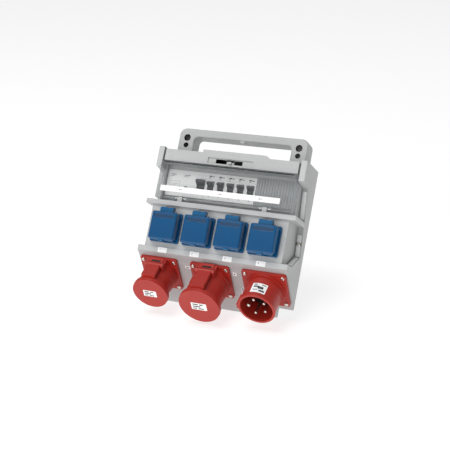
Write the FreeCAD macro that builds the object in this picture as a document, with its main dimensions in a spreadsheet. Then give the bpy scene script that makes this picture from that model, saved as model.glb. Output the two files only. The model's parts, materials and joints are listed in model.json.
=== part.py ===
import FreeCAD, Part
import math
import os
import Sketcher

# Portable power distribution box with a carrying handle, shown leaning back on its rear stand.
#
# Every piece is modelled in the box's own upright frame: X to the right, D forward out of the
# front (D = -Y) and Z up along the front. The finished box then leans back by lean_deg, and the
# row frame has its origin in the middle of the footprint, at the floor.

SIZES = {
    # stance
    "lean_deg": 30.0, "slope_deg": 53.6,
    # rear shell
    "shell_half": 130.0, "shell_wall": 3.0, "shell_back": 33.0, "shell_top": 247.0,
    "rim_high_d": 4.0, "rim_high_z": 208.0, "rim_low_d": -18.0, "rim_low_z": 98.0,
    "block_d": 18.0, "block_z": 76.0,
    "bulge_back": 55.8, "bulge_low_half": 98.0, "bulge_high_half": 119.0,
    "bulge_step_z": 100.0, "bulge_top": 247.0,
    # handle and the ears beside the hood
    "handle_half": 115.0, "handle_top": 292.0, "handle_deep": 30.0, "handle_corner": 12.0,
    "grip_tall": 13.7, "grip_half": 87.0, "grip_low": 250.0, "grip_corner": 7.0,
    "hole_x": 100.0, "big_hole_z": 275.6, "big_hole_rad": 6.0,
    "small_hole_z": 262.5, "small_hole_rad": 4.5,
    "ear_in": 120.5, "ear_d": 37.0, "ear_low": 213.0,
    # front cover
    "cover_half": 119.0, "cover_wall": 3.0, "hood_half": 117.0, "hood_d": 36.7,
    "hood_low": 224.2, "hood_top": 243.7, "crest_top": 248.5,
    "crest_left": -51.0, "crest_right": 60.0, "crest_ramp": 7.0,
    "tray_d": 12.0, "tray_rim_d": 20.0, "panel_d": 41.0,
    "upper_rail_low": 146.5, "upper_rail_top": 154.3, "upper_rail_d": 45.4,
    "lower_rail_low": 67.1, "lower_rail_top": 75.9, "lower_rail_d": 42.0,
    "slant_d": 32.0, "slant_z": 62.1, "seal_thick": 1.6,
    # window lid
    "lid_half": 119.0, "lid_low": 157.5, "lid_top": 221.5, "lid_back_d": 21.0,
    "lid_front_d": 42.0, "lid_wall": 2.5, "lid_hinge_d": 37.0, "lid_hinge_z": 161.0,
    "lid_pin_rad": 1.5, "catch_half": 40.0,
    # modular devices on their rail
    "module_wide": 17.7, "device_z": 192.0, "rail_face_d": -44.0, "nose_d": 14.0,
    "nose_tall": 45.0, "shoulder_d": 0.0, "device_tall": 88.0, "lever_wide": 11.0,
    # household sockets with blue lids
    "blue_pitch": 57.1, "blue_z": 109.0, "blue_flange": 50.0, "blue_lid_wide": 44.3,
    "blue_lid_tall": 46.2, "blue_lid_d": 62.0, "blue_hinge_d": 50.0, "blue_hinge_z": 138.0,
    "blue_well_rad": 19.5,
    # round three-phase sockets and the inlet on the slanted panel
    "left_x": -93.8, "left_flange": 65.2, "left_barrel": 27.0, "left_disc": 30.5, "left_long": 54.5,
    "mid_x": -3.4, "mid_flange": 67.9, "mid_barrel": 31.0, "mid_disc": 35.0, "mid_long": 64.5,
    "inlet_x": 89.7, "inlet_wide": 74.8, "inlet_tall": 67.9, "shroud_rad": 30.0, "shroud_long": 51.5,
    "flange_thick": 5.0, "flange_drop": 0.8, "red_hinge_out": 20.0,
    # rear stand
    "stand_rad": 4.0, "stand_half": 50.0, "stand_gap": 7.5, "stand_z": 190.0, "stand_long": 160.0,
    # fits
    "running": 0.05, "play": 0.3,
}


class Measure:
    """A number together with the sheet formula that gives it."""

    def __init__(self, value, text):
        self.value = float(value)
        self.text = text

    def __add__(self, other):
        other = measure(other)
        return Measure(self.value + other.value, f"({self.text} + {other.text})")

    def __sub__(self, other):
        other = measure(other)
        return Measure(self.value - other.value, f"({self.text} - {other.text})")

    def __mul__(self, other):
        other = measure(other)
        return Measure(self.value * other.value, f"({self.text} * {other.text})")

    def __truediv__(self, other):
        other = measure(other)
        return Measure(self.value / other.value, f"({self.text} / {other.text})")

    def __rtruediv__(self, other):
        return measure(other) / self

    def __neg__(self):
        return Measure(-self.value, f"(0 - {self.text})")

    def __radd__(self, other):
        return measure(other) + self

    def __rsub__(self, other):
        return measure(other) - self

    def __rmul__(self, other):
        return measure(other) * self


def measure(number):
    """Give a plain number the same form as a size from the sheet."""
    if isinstance(number, Measure):
        return number
    return Measure(number, f"{float(number):.6f}" if number >= 0 else f"(0 - {abs(float(number)):.6f})")


def sine(angle):
    return Measure(math.sin(math.radians(angle.value)), f"sin({angle.text})")


def cosine(angle):
    return Measure(math.cos(math.radians(angle.value)), f"cos({angle.text})")


def tangent(angle):
    return Measure(math.tan(math.radians(angle.value)), f"tan({angle.text})")


doc = FreeCAD.newDocument("distribution_box")
sheet = doc.addObject("Spreadsheet::Sheet", "Sizes")
for row, (alias, number) in enumerate(SIZES.items(), start=1):
    sheet.set(f"A{row}", alias)
    sheet.set(f"B{row}", str(number))
    sheet.setAlias(f"B{row}", alias)
doc.recompute()


class Sheet:
    """Reads a named size from the sheet, with its formula."""

    def __getattr__(self, alias):
        return Measure(float(getattr(sheet, alias)), f"Sizes.{alias}")


S = Sheet()


def bind(thing, path, size):
    thing.setExpression(path, measure(size).text)


# --------------------------------------------------------------------------- outlines

def box(low_u, high_u, low_v, high_v):
    """A rectangle in a sketch, given by its four sides."""
    return [(low_u, low_v), (high_u, low_v), (high_u, high_v), (low_u, high_v)]


def disc(centre_u, centre_v, radius):
    """A circle in a sketch."""
    return ("disc", centre_u, centre_v, radius)


def pin_point(sketch, index, place, size_u, size_v):
    """Fix a sketch point at its two distances from the sketch's origin."""
    for kind, size in (("DistanceX", measure(size_u)), ("DistanceY", measure(size_v))):
        number = sketch.addConstraint(Sketcher.Constraint(kind, -1, 1, index, place, size.value))
        bind(sketch, f"Constraints[{number}]", size)


def draw(sketch, outline):
    """Draw one outline, fully constrained, into a sketch."""
    start = sketch.GeometryCount
    if outline[0] == "disc":
        centre_u, centre_v, radius = (measure(size) for size in outline[1:])
        centre = FreeCAD.Vector(centre_u.value, centre_v.value, 0)
        sketch.addGeometry(Part.Circle(centre, FreeCAD.Vector(0, 0, 1), radius.value), False)
        pin_point(sketch, start, 3, centre_u, centre_v)
        number = sketch.addConstraint(Sketcher.Constraint("Radius", start, radius.value))
        bind(sketch, f"Constraints[{number}]", radius)
        return
    points = [(measure(size_u), measure(size_v)) for size_u, size_v in outline]
    corners = [FreeCAD.Vector(size_u.value, size_v.value, 0) for size_u, size_v in points]
    count = len(corners)
    for index in range(count):
        sketch.addGeometry(Part.LineSegment(corners[index], corners[(index + 1) % count]), False)
    for index in range(count):
        after = start + (index + 1) % count
        sketch.addConstraint(Sketcher.Constraint("Coincident", start + index, 2, after, 1))
    for index, (size_u, size_v) in enumerate(points):
        pin_point(sketch, start + index, 1, size_u, size_v)


# --------------------------------------------------------------------------- pieces

PLANES = {"front": "XZ_Plane", "side": "YZ_Plane", "plan": "XY_Plane"}
pieces = {}


class Piece:
    """One sub-part: a body made of pads and pockets on its own origin planes.

    A front sketch is drawn in (X, Z) and runs along D, a side sketch is drawn in (D, Z) and runs
    along X, and a plan sketch is drawn in (X, D) and runs along Z.
    """

    def __init__(self, label, local=None):
        self.label = label
        self.body = doc.addObject("PartDesign::Body", label)
        self.body.Label = label
        self.local = local or FreeCAD.Placement()
        self.volume = 0.0
        pieces[label] = self

    def sketch(self, plane, outlines, start, tilt=None):
        sketch = self.body.newObject("Sketcher::SketchObject", f"{self.label}_sketch")
        role = PLANES[plane]
        origin_plane = [item for item in self.body.Origin.OriginFeatures if item.Role == role][0]
        sketch.AttachmentSupport = [(origin_plane, "")]
        sketch.MapMode = "FlatFace"
        if tilt:
            tilt.apply(sketch, start)
        else:
            bind(sketch, "AttachmentOffset.Base.z", start)
        for outline in outlines:
            if outline[0] == "disc":
                _, size_u, size_v, radius = outline
                flipped = disc(-measure(size_u), size_v, radius) if plane == "side" else outline
                flipped = disc(size_u, -measure(size_v), radius) if plane == "plan" else flipped
            elif plane == "side":
                flipped = [(-measure(size_u), size_v) for size_u, size_v in outline]
            elif plane == "plan":
                flipped = [(size_u, -measure(size_v)) for size_u, size_v in outline]
            else:
                flipped = outline
            draw(sketch, flipped)
        return sketch

    def step(self, kind, plane, outlines, start, end, tilt=None):
        sketch = self.sketch(plane, outlines, start, tilt)
        feature = self.body.newObject(f"PartDesign::{kind}", f"{self.label}_{kind.lower()}")
        feature.Profile = sketch
        bind(feature, "Length", measure(end) - measure(start))
        if kind == "Pocket":
            feature.Reversed = True
        doc.recompute()
        self.verify(kind)
        return self

    def pad(self, plane, outlines, start, end):
        return self.step("Pad", plane, outlines, start, end)

    def cut(self, plane, outlines, start, end, tilt=None):
        return self.step("Pocket", plane, outlines, start, end, tilt)

    def soften(self, kind, size, chosen):
        """Round or bevel the edges that the chooser picks by their middle point and direction."""
        names = []
        for number, edge in enumerate(self.body.Shape.Edges, start=1):
            middle = edge.valueAt((edge.FirstParameter + edge.LastParameter) / 2)
            along = edge.tangentAt(edge.FirstParameter)
            straight = isinstance(edge.Curve, Part.Line)
            if chosen(middle, along, straight):
                names.append(f"Edge{number}")
        if not names:
            raise ValueError(f"{self.label}: no edge to soften")
        before = self.body.Tip
        feature = self.body.newObject(f"PartDesign::{kind}", f"{self.label}_{kind.lower()}")
        feature.Base = (before, names)
        bind(feature, "Radius" if kind == "Fillet" else "Size", size)
        self.body.Tip = feature
        doc.recompute()
        self.verify(kind)
        return self

    def verify(self, kind):
        """Stop when a step failed or changed nothing."""
        tip = self.body.Tip
        volume = self.body.Shape.Volume
        if "Invalid" in tip.State or "Error" in tip.State or abs(volume - self.volume) < 1e-3:
            raise ValueError(f"{self.label}: {kind} changed nothing or failed")
        if kind == "Pocket" and volume > self.volume:
            raise ValueError(f"{self.label}: pocket added material")
        self.volume = volume

    @property
    def thing(self):
        return self.body


class Group:
    """One sub-part made of separate solids, or of primitives joined by booleans."""

    def __init__(self, label, solids, local=None):
        self.label = label
        self.local = local or FreeCAD.Placement()
        self.thing = doc.addObject("Part::Compound", label)
        self.thing.Label = label
        self.thing.Links = solids
        pieces[label] = self


def cylinder(name, radius, length, place, direction):
    """A cylinder from a point (X, D, Z) along one of the frame's directions."""
    turned = {
        "D": FreeCAD.Rotation(FreeCAD.Vector(1, 0, 0), 90),
        "X": FreeCAD.Rotation(FreeCAD.Vector(0, 1, 0), 90),
        "Z": FreeCAD.Rotation(),
    }
    solid = doc.addObject("Part::Cylinder", name)
    bind(solid, "Radius", radius)
    bind(solid, "Height", length)
    solid.Placement = FreeCAD.Placement(FreeCAD.Vector(), turned[direction])
    bind(solid, "Placement.Base.x", place[0])
    bind(solid, "Placement.Base.y", -measure(place[1]))
    bind(solid, "Placement.Base.z", place[2])
    return solid


def block(name, along_x, along_d, along_z):
    """A box between two values of X, of D and of Z."""
    solid = doc.addObject("Part::Box", name)
    bind(solid, "Length", measure(along_x[1]) - along_x[0])
    bind(solid, "Width", measure(along_d[1]) - along_d[0])
    bind(solid, "Height", measure(along_z[1]) - along_z[0])
    bind(solid, "Placement.Base.x", along_x[0])
    bind(solid, "Placement.Base.y", -measure(along_d[1]))
    bind(solid, "Placement.Base.z", along_z[0])
    return solid


def boolean(kind, name, first, second):
    joined = doc.addObject(f"Part::{kind}", name)
    joined.Base = first
    joined.Tool = second
    return joined


# --------------------------------------------------------------------------- shared lines

RIM_RISE = (S.rim_high_d - S.rim_low_d) / (S.rim_high_z - S.rim_low_z)


def rim_d(height):
    """D of the tilted rim where the front cover meets the rear shell."""
    return S.rim_low_d + (measure(height) - S.rim_low_z) * RIM_RISE


def slant(along_d, inside=0.0):
    """Height of the slanted panel's outer face at a given D, or of a line that far inside it."""
    outer = S.slant_z - (S.slant_d - along_d) / tangent(S.slope_deg)
    return outer + measure(inside) / sine(S.slope_deg)


FOOT_D = S.slant_d - S.slant_z * tangent(S.slope_deg)


def floor_line(along_d):
    """Height of the level strip under the box's lower edge."""
    return (FOOT_D - along_d) * tangent(S.lean_deg)


# where the inside of the slanted panel meets the level strip
FOOT_INNER_D = (
    FOOT_D * tangent(S.lean_deg) - slant(0.0, S.cover_wall)
) / (1 / tangent(S.slope_deg) + tangent(S.lean_deg))


class Tilt:
    """Puts a front sketch on the slanted panel, centred a given way down from its top edge."""

    def __init__(self, down):
        self.up_z = cosine(S.slope_deg)
        self.up_d = sine(S.slope_deg)
        self.centre_z = S.slant_z - measure(down) * self.up_z
        self.centre_d = S.slant_d - measure(down) * self.up_d

    def apply(self, sketch, start):
        turn = FreeCAD.Rotation(FreeCAD.Vector(1, 0, 0), S.slope_deg.value)
        sketch.AttachmentOffset = FreeCAD.Placement(FreeCAD.Vector(), turn)
        bind(sketch, "AttachmentOffset.Base.y", self.centre_z - measure(start) * self.up_d)
        bind(sketch, "AttachmentOffset.Base.z", self.centre_d + measure(start) * self.up_z)

    def placement(self, along_x):
        """Placement of a piece that stands on the slanted panel at this centre."""
        place = FreeCAD.Vector(measure(along_x).value, -self.centre_d.value, self.centre_z.value)
        return FreeCAD.Placement(place, FreeCAD.Rotation(FreeCAD.Vector(1, 0, 0), S.slope_deg.value))


# --------------------------------------------------------------------------- the three on the slant

class Mounting:
    """Place, flange and fixing holes of one piece on the slanted panel."""

    def __init__(self, along_x, wide, tall, back_rad):
        self.along_x = along_x
        self.wide = wide
        self.tall = tall
        self.back_rad = back_rad
        self.tilt = Tilt(tall / 2 + S.flange_drop)
        self.local = self.tilt.placement(along_x)
        self.bolt_x = wide / 2 - 5.5
        self.bolt_z = tall / 2 - 5.5

    def bolts(self, centre, radius):
        return [
            disc(measure(centre) + side * self.bolt_x, level * self.bolt_z, radius)
            for side in (-1, 1) for level in (-1, 1)
        ]


SCREW_RAD = 2.0
LEFT = Mounting(S.left_x, S.left_flange, S.left_flange, measure(21.0))
MIDDLE = Mounting(S.mid_x, S.mid_flange, S.mid_flange, measure(25.0))
INLET = Mounting(S.inlet_x, S.inlet_wide, S.inlet_tall, measure(23.0))
MOUNTINGS = {"left": LEFT, "middle": MIDDLE, "inlet": INLET}

BLUE_X = [S.blue_pitch * step for step in (-1.5, -0.5, 0.5, 1.5)]
BLUE_BACK_RAD = 21.5


# --------------------------------------------------------------------------- rear shell

def make_rear_shell():
    """Deep rear shell with the side ears and the stand's lugs."""
    shell = Piece("rear_shell")
    inner = S.shell_wall
    wide = [
        (rim_d(S.shell_top), S.shell_top), (S.rim_low_d, S.rim_low_z), (S.block_d, S.block_z),
        (S.block_d, slant(S.block_d, S.cover_wall)), (-S.shell_back, slant(-S.shell_back, S.cover_wall)),
        (-S.shell_back, S.shell_top),
    ]
    shell.pad("side", [wide], -S.shell_half, S.shell_half)
    low = [
        (-S.shell_back, slant(-S.shell_back, S.cover_wall)), (FOOT_INNER_D, floor_line(FOOT_INNER_D)),
        (-S.bulge_back, floor_line(-S.bulge_back)), (-S.bulge_back, S.bulge_step_z + 12),
        (-S.shell_back, S.bulge_step_z + 12),
    ]
    shell.pad("side", [low], -S.bulge_low_half, S.bulge_low_half)
    high = [
        (-S.shell_back, S.bulge_step_z - 4), (-S.bulge_back, S.bulge_step_z + 12),
        (-S.bulge_back, S.bulge_top - 6), (-S.shell_back, S.bulge_top),
    ]
    shell.pad("side", [high], -S.bulge_high_half, S.bulge_high_half)
    ear = [
        (rim_d(S.rim_high_z), S.rim_high_z), (S.ear_d, S.ear_low), (S.ear_d, S.shell_top),
        (rim_d(S.shell_top), S.shell_top),
    ]
    shell.pad("side", [ear], S.ear_in, S.shell_half)
    shell.pad("side", [ear], -S.shell_half, -S.ear_in)
    # hollow of the wide part, open towards the slanted panel
    ceiling = S.shell_top - inner
    hollow = [
        (rim_d(ceiling) - inner, ceiling), (S.rim_low_d - inner, S.rim_low_z - 2),
        (S.block_d - inner, S.block_z - 2), (S.block_d - inner, slant(S.block_d)),
        (inner - S.shell_back, slant(inner - S.shell_back)), (inner - S.shell_back, ceiling),
    ]
    shell.cut("side", [hollow], inner - S.shell_half, S.shell_half - inner)
    # opening of the rim behind the front cover
    inside = S.cover_half - S.cover_wall
    mouth = [
        (rim_d(ceiling - 4) + 2, ceiling - 4), (S.rim_low_d + 2, S.rim_low_z + 1),
        (S.block_d + 1, S.block_z + 1), (S.block_d + 1, slant(S.block_d) - 10), (0.0, S.block_z - 30),
        (S.rim_low_d - 8, S.rim_low_z - 8), (rim_d(ceiling - 4) - 8, ceiling - 4),
    ]
    shell.cut("side", [mouth], -inside, inside)
    # groove of the gasket
    edge = S.cover_half - SEAL_EDGE
    inner_edge = S.cover_half - S.cover_wall + SEAL_EDGE
    for low_x, high_x in ((-edge, -inner_edge), (inner_edge, edge)):
        shell.cut("side", [seal_run(S.rim_low_z + 4)], low_x, high_x)
    shell.cut("side", [seal_run(S.hood_top - S.cover_wall + SEAL_EDGE)], -edge, edge)
    # hollows of the two steps of the back
    low_half = S.bulge_low_half - inner
    low_hollow = [
        (inner - S.shell_back + 1, S.bulge_step_z + 18), (inner - S.shell_back + 1, 5.0),
        (inner - S.bulge_back, floor_line(-S.bulge_back) - 6), (inner - S.bulge_back, S.bulge_step_z + 18),
    ]
    shell.cut("side", [low_hollow], -low_half, low_half)
    high_half = S.bulge_high_half - inner
    high_hollow = [
        (inner - S.shell_back + 1, S.bulge_step_z + 2), (inner - S.bulge_back, S.bulge_step_z + 14),
        (inner - S.bulge_back, S.bulge_top - 6 - inner), (inner - S.shell_back + 1, S.bulge_top - inner),
    ]
    shell.cut("side", [high_hollow], -high_half, high_half)
    # seats of the device rail
    seats = [box(side * 60.0 - 12.0, side * 60.0 + 12.0, S.device_z - 9, S.device_z + 9) for side in (-1, 1)]
    shell.pad("front", seats, inner - S.bulge_back - 1, RAIL_BACK_D)
    # lugs that carry the stand
    axle_d = -S.bulge_back - S.stand_gap
    lug = [
        (-S.bulge_back + 1, S.stand_z - 12), (axle_d - 6, S.stand_z - 6), (axle_d - 6, S.stand_z + 6),
        (-S.bulge_back + 1, S.stand_z + 12),
    ]
    lug_in = S.stand_half + STAND_BEND + 0.6
    shell.pad("side", [lug], lug_in, lug_in + 7)
    shell.pad("side", [lug], -lug_in - 7, -lug_in)
    bore = disc(axle_d, S.stand_z, S.stand_rad + S.running)
    shell.cut("side", [bore], lug_in - 1, lug_in + 8)
    shell.cut("side", [bore], -lug_in - 8, 1 - lug_in)
    # holes for the cover screws in the side rims
    screws = [disc(side * COVER_SCREW_X, COVER_SCREW_Z, 1.9) for side in (-1, 1)]
    shell.cut("front", screws, -24.0, 0.0)
    return shell


def make_carry_handle():
    """Carrying handle that stands on the shell's top, with its grip and lashing holes."""
    handle = Piece("carry_handle")
    outline = box(-S.handle_half, S.handle_half, S.shell_top, S.handle_top)
    handle.pad("front", [outline], -S.handle_deep, 0.0)
    handle.soften("Fillet", S.handle_corner, lambda middle, along, straight: (
        straight and abs(along.y) > 0.9 and middle.z > S.handle_top.value - 1))
    grip = box(-S.grip_half, S.grip_half, S.grip_low, S.handle_top - S.grip_tall)
    handle.cut("front", [grip], -S.handle_deep, 0.0)
    handle.soften("Fillet", S.grip_corner, lambda middle, along, straight: (
        straight and abs(along.y) > 0.9 and abs(abs(middle.x) - S.grip_half.value) < 0.1
        and middle.z > S.grip_low.value + 1))
    # edges of the grip, rounded for the hand
    bar_low = S.handle_top.value - S.grip_tall.value
    handle.soften("Fillet", 2.5, lambda middle, along, straight: (
        straight and abs(along.x) > 0.9 and middle.z > bar_low - 0.1))
    holes = [disc(side * S.hole_x, S.big_hole_z, S.big_hole_rad) for side in (-1, 1)]
    holes += [disc(side * S.hole_x, S.small_hole_z, S.small_hole_rad) for side in (-1, 1)]
    handle.cut("front", holes, -S.handle_deep, 0.0)
    return handle


RAIL_DEEP = 7.5
STAND_BEND = 6.0
RAIL_BACK_D = S.rail_face_d - RAIL_DEEP
COVER_SCREW_X = 124.5
COVER_SCREW_Z = 120.0


# --------------------------------------------------------------------------- front cover

def make_front_cover():
    """Front cover: hood, device tray, two rails, socket panel and slanted panel."""
    cover = Piece("front_cover")
    wall = S.cover_wall
    frame = [
        (rim_d(S.hood_top), S.hood_top), (S.hood_d, S.hood_top), (S.hood_d, S.hood_low),
        (S.tray_rim_d, S.hood_low), (S.tray_rim_d, S.upper_rail_top), (S.panel_d, S.upper_rail_top),
        (S.panel_d, S.lower_rail_low + 4), (S.slant_d, S.slant_z), (S.block_d, slant(S.block_d)),
        (S.block_d, S.block_z), (S.rim_low_d, S.rim_low_z),
    ]
    cover.pad("side", [frame], -S.cover_half, S.cover_half)
    upper = [
        (rim_d(S.upper_rail_low), S.upper_rail_low), (S.upper_rail_d, S.upper_rail_low),
        (S.upper_rail_d, S.upper_rail_top), (rim_d(S.upper_rail_top), S.upper_rail_top),
    ]
    cover.pad("side", [upper], -S.shell_half, S.shell_half)
    lower = [
        (S.block_d, S.lower_rail_top), (S.lower_rail_d, S.lower_rail_top),
        (S.lower_rail_d, S.lower_rail_low), (S.slant_d, S.slant_z),
        (-S.shell_back, slant(-S.shell_back)), (-S.shell_back, slant(-S.shell_back, wall)),
        (S.block_d, slant(S.block_d, wall)),
    ]
    cover.pad("side", [lower], -S.shell_half, S.shell_half)
    foot = [
        (-S.shell_back, slant(-S.shell_back)), (FOOT_D, 0.0), (FOOT_INNER_D, floor_line(FOOT_INNER_D)),
        (-S.shell_back, slant(-S.shell_back, wall)),
    ]
    cover.pad("side", [foot], -S.bulge_low_half, S.bulge_low_half)
    crest = [
        (S.crest_left, S.hood_top), (S.crest_right + S.crest_ramp, S.hood_top),
        (S.crest_right, S.crest_top), (S.crest_left, S.crest_top),
    ]
    cover.pad("front", [crest], S.hood_d - 14, S.hood_d)
    # inside of the hood, of the socket box and of the slanted panel
    inside = S.cover_half - wall
    hollow = [
        (-60.0, S.hood_top - wall), (S.hood_d - wall, S.hood_top - wall),
        (S.hood_d - wall, S.hood_low + wall), (S.tray_d - wall, S.hood_low + wall),
        (S.tray_d - wall, S.upper_rail_top - wall), (S.panel_d - wall, S.upper_rail_top - wall),
        (S.panel_d - wall, S.lower_rail_low + 5), (S.slant_d - wall / 2, slant(S.slant_d - wall / 2, wall)),
        (-60.0, slant(-60.0, wall)),
    ]
    cover.cut("side", [hollow], -inside, inside)
    tray = box(-inside, inside, S.upper_rail_top + wall, S.hood_low - wall)
    cover.cut("front", [tray], S.tray_d, S.tray_rim_d)
    half_row = S.module_wide * 6.5 + 0.5
    half_nose = S.nose_tall / 2 + 0.5
    slot = box(-half_row, half_row, S.device_z - half_nose, S.device_z + half_nose)
    cover.cut("front", [slot], S.tray_d - wall, S.tray_d)
    # ends of the hood are narrower than the cover behind it
    for low_x, high_x in ((S.hood_half, S.cover_half), (-S.cover_half, -S.hood_half)):
        trim = box(low_x, high_x, S.hood_low, S.hood_top)
        cover.cut("front", [trim], S.hood_d - 12, S.hood_d)
    wells = [disc(along_x, S.blue_z, BLUE_BACK_RAD + 0.5) for along_x in BLUE_X]
    cover.cut("front", wells, S.panel_d - wall, S.panel_d)
    for mounting in MOUNTINGS.values():
        well = disc(mounting.along_x, 0.0, mounting.back_rad + 0.5)
        cover.cut("front", [well], -wall - 1, 0.0, mounting.tilt)
        bolts = mounting.bolts(mounting.along_x, SCREW_RAD + 0.2)
        cover.cut("front", bolts, -wall - 6, 0.0, mounting.tilt)
    # recess of the catch in the hood
    catch = box(-S.catch_half, S.catch_half, S.hood_low + 2.5, S.hood_low + 12)
    cover.cut("front", [catch], S.hood_d - 2, S.hood_d)
    slot = box(-6.6, 6.6, S.hood_low + 2.5, S.hood_low + 11)
    cover.cut("front", [slot], S.hood_d - wall - 1, S.hood_d)
    # knuckles that carry the window's hinge pins
    for side in (-1, 1):
        knuckle = disc(S.lid_hinge_d, S.lid_hinge_z, 3.2)
        stem = box(S.lid_hinge_d - 3.2, S.lid_hinge_d + 3.2, S.upper_rail_top - 1, S.lid_hinge_z)
        edges = sorted((side * HINGE_IN, side * HINGE_OUT))
        cover.pad("side", [stem], edges[0], edges[1])
        cover.pad("side", [knuckle], edges[0], edges[1])
        bore = disc(S.lid_hinge_d, S.lid_hinge_z, S.lid_pin_rad + S.running)
        cover.cut("side", [bore], edges[0] - 0.5, edges[1] + 0.5)
    return cover


HINGE_IN = 70.0
HINGE_OUT = 78.0


def seal_run(bottom):
    """Profile of the gasket along the tilted rim, from a given height up to the hood's top wall."""
    top = S.hood_top - SEAL_EDGE
    return [
        (rim_d(top), top), (rim_d(bottom), bottom),
        (rim_d(bottom) - S.seal_thick, bottom), (rim_d(top) - S.seal_thick, top),
    ]


def seal_gap():
    """What the gasket leaves open between its two sides, below its top run."""
    inside = S.cover_half - S.cover_wall + SEAL_EDGE
    return box(-inside, inside, 0.0, S.hood_top - S.cover_wall + SEAL_EDGE)


SEAL_EDGE = 0.5


def make_cover_seal():
    """Gasket in the rim of the rear shell, pressed by the front cover's walls."""
    seal = Piece("cover_seal")
    outer = S.cover_half - SEAL_EDGE
    seal.pad("side", [seal_run(S.rim_low_z + 4)], -outer, outer)
    seal.cut("front", [seal_gap()], -60.0, 60.0)
    return seal


# --------------------------------------------------------------------------- devices on the rail

def make_device_rail():
    """Top-hat rail that carries the modular devices."""
    rail = Piece("device_rail")
    mid = S.device_z
    face = S.rail_face_d
    hat = [
        (face, mid + 17.5), (face - 1, mid + 17.5), (face - 1, mid + 13.5), (RAIL_BACK_D, mid + 13.5),
        (RAIL_BACK_D, mid - 13.5), (face - 1, mid - 13.5), (face - 1, mid - 17.5), (face, mid - 17.5),
        (face, mid - 12.5), (RAIL_BACK_D + 1, mid - 12.5), (RAIL_BACK_D + 1, mid + 12.5), (face, mid + 12.5),
    ]
    rail.pad("side", [hat], -112.0, 112.0)
    return rail


def device_profile():
    """Side outline shared by every modular device: tall shoulders and a shorter nose."""
    low = S.device_z - S.device_tall / 2
    high = S.device_z + S.device_tall / 2
    nose_low = S.device_z - S.nose_tall / 2
    nose_high = S.device_z + S.nose_tall / 2
    return [
        (S.rail_face_d, low), (S.shoulder_d, low), (S.shoulder_d, nose_low), (S.nose_d, nose_low),
        (S.nose_d, nose_high), (S.shoulder_d, nose_high), (S.shoulder_d, high), (S.rail_face_d, high),
    ]


PIVOT_DEEP = 6.0
HUB_RAD = 5.0
LEVER_TILT = 25.0
TRUNNION_RAD = 1.5


def device_body(label, low_x, high_x, lever_x, lever_wide):
    """A device housing with the slot and bearings of its lever."""
    device = Piece(label)
    device.pad("side", [device_profile()], low_x + 0.1, high_x - 0.1)
    slot = box(lever_x - lever_wide / 2 - S.play, lever_x + lever_wide / 2 + S.play,
               S.device_z - 9, S.device_z + 9)
    device.cut("front", [slot], S.nose_d - 12.5, S.nose_d)
    bearing = disc(S.nose_d - PIVOT_DEEP, S.device_z, TRUNNION_RAD + S.running)
    reach = lever_wide / 2 + 1.6
    device.cut("side", [bearing], lever_x - reach, lever_x + reach)
    return device


def device_lever(label, lever_x, lever_wide, long=14.0, thick=5.0):
    """Rocking lever with a round hub and two trunnions, tilted up in its rest position."""
    pivot_d = S.nose_d - PIVOT_DEEP
    turn = FreeCAD.Rotation(FreeCAD.Vector(1, 0, 0), -LEVER_TILT)
    place = FreeCAD.Vector(0, -pivot_d.value, S.device_z.value)
    lever = Piece(label, FreeCAD.Placement(place, turn))
    half = lever_wide / 2
    lever.pad("side", [disc(0.0, 0.0, HUB_RAD)], lever_x - half, lever_x + half)
    paddle = [(0.0, -thick / 2), (long, -thick / 2 + 0.6), (long, thick / 2 - 0.6), (0.0, thick / 2)]
    lever.pad("side", [paddle], lever_x - half, lever_x + half)
    reach = half + 1.4
    lever.pad("side", [disc(0.0, 0.0, TRUNNION_RAD)], lever_x - reach, lever_x + reach)
    return lever


ROW_LEFT = S.module_wide * -6.5
LEAKAGE_MODULES = 4
BREAKERS = 5
BUTTON_X = ROW_LEFT + 36.0
BUTTON_RAD = 3.2
BUTTON_DEEP = 6.0


def make_leakage_switch():
    """Residual current switch, four modules wide, with its lever and test button."""
    right = ROW_LEFT + S.module_wide * LEAKAGE_MODULES
    lever_x = right - S.module_wide / 2
    body = device_body("leakage_switch_body", ROW_LEFT, right, lever_x, measure(14.0))
    button_z = S.device_z - 8
    body.cut("front", [disc(BUTTON_X, button_z, BUTTON_RAD + S.play)], S.nose_d - BUTTON_DEEP, S.nose_d)
    device_lever("leakage_switch_lever", lever_x, measure(14.0), 16.0, 6.0)
    button = Piece("test_button")
    button.pad("front", [disc(BUTTON_X, button_z, BUTTON_RAD)], S.nose_d - BUTTON_DEEP + 2.2, S.nose_d + 1.5)


def make_breakers():
    """The row of single-pole breakers with their levers."""
    start = ROW_LEFT + S.module_wide * LEAKAGE_MODULES
    for number in range(BREAKERS):
        left = start + S.module_wide * number
        middle = left + S.module_wide / 2
        device_body(f"breaker_body_{number + 1}", left, left + S.module_wide, middle, S.lever_wide)
        device_lever(f"breaker_lever_{number + 1}", middle, S.lever_wide)


def make_blanking_strip():
    """Strip that closes the unused end of the device slot, clipped through it."""
    left = ROW_LEFT + S.module_wide * (LEAKAGE_MODULES + BREAKERS) + 0.2
    right = S.module_wide * 6.5 + 0.4
    half = S.nose_tall / 2
    strip = Piece("blanking_strip")
    face = box(left, right, S.device_z - half - 2, S.device_z + half + 2)
    strip.pad("front", [face], S.tray_d, S.tray_d + 1.6)
    heights = [S.device_z + side * (half - 1.5) for side in (-1, 1)]
    clips = [box(left + 1, right - 1, height - 1.5, height + 1.5) for height in heights]
    strip.pad("front", clips, S.tray_d - S.cover_wall - 3, S.tray_d + 0.5)
    return strip


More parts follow.
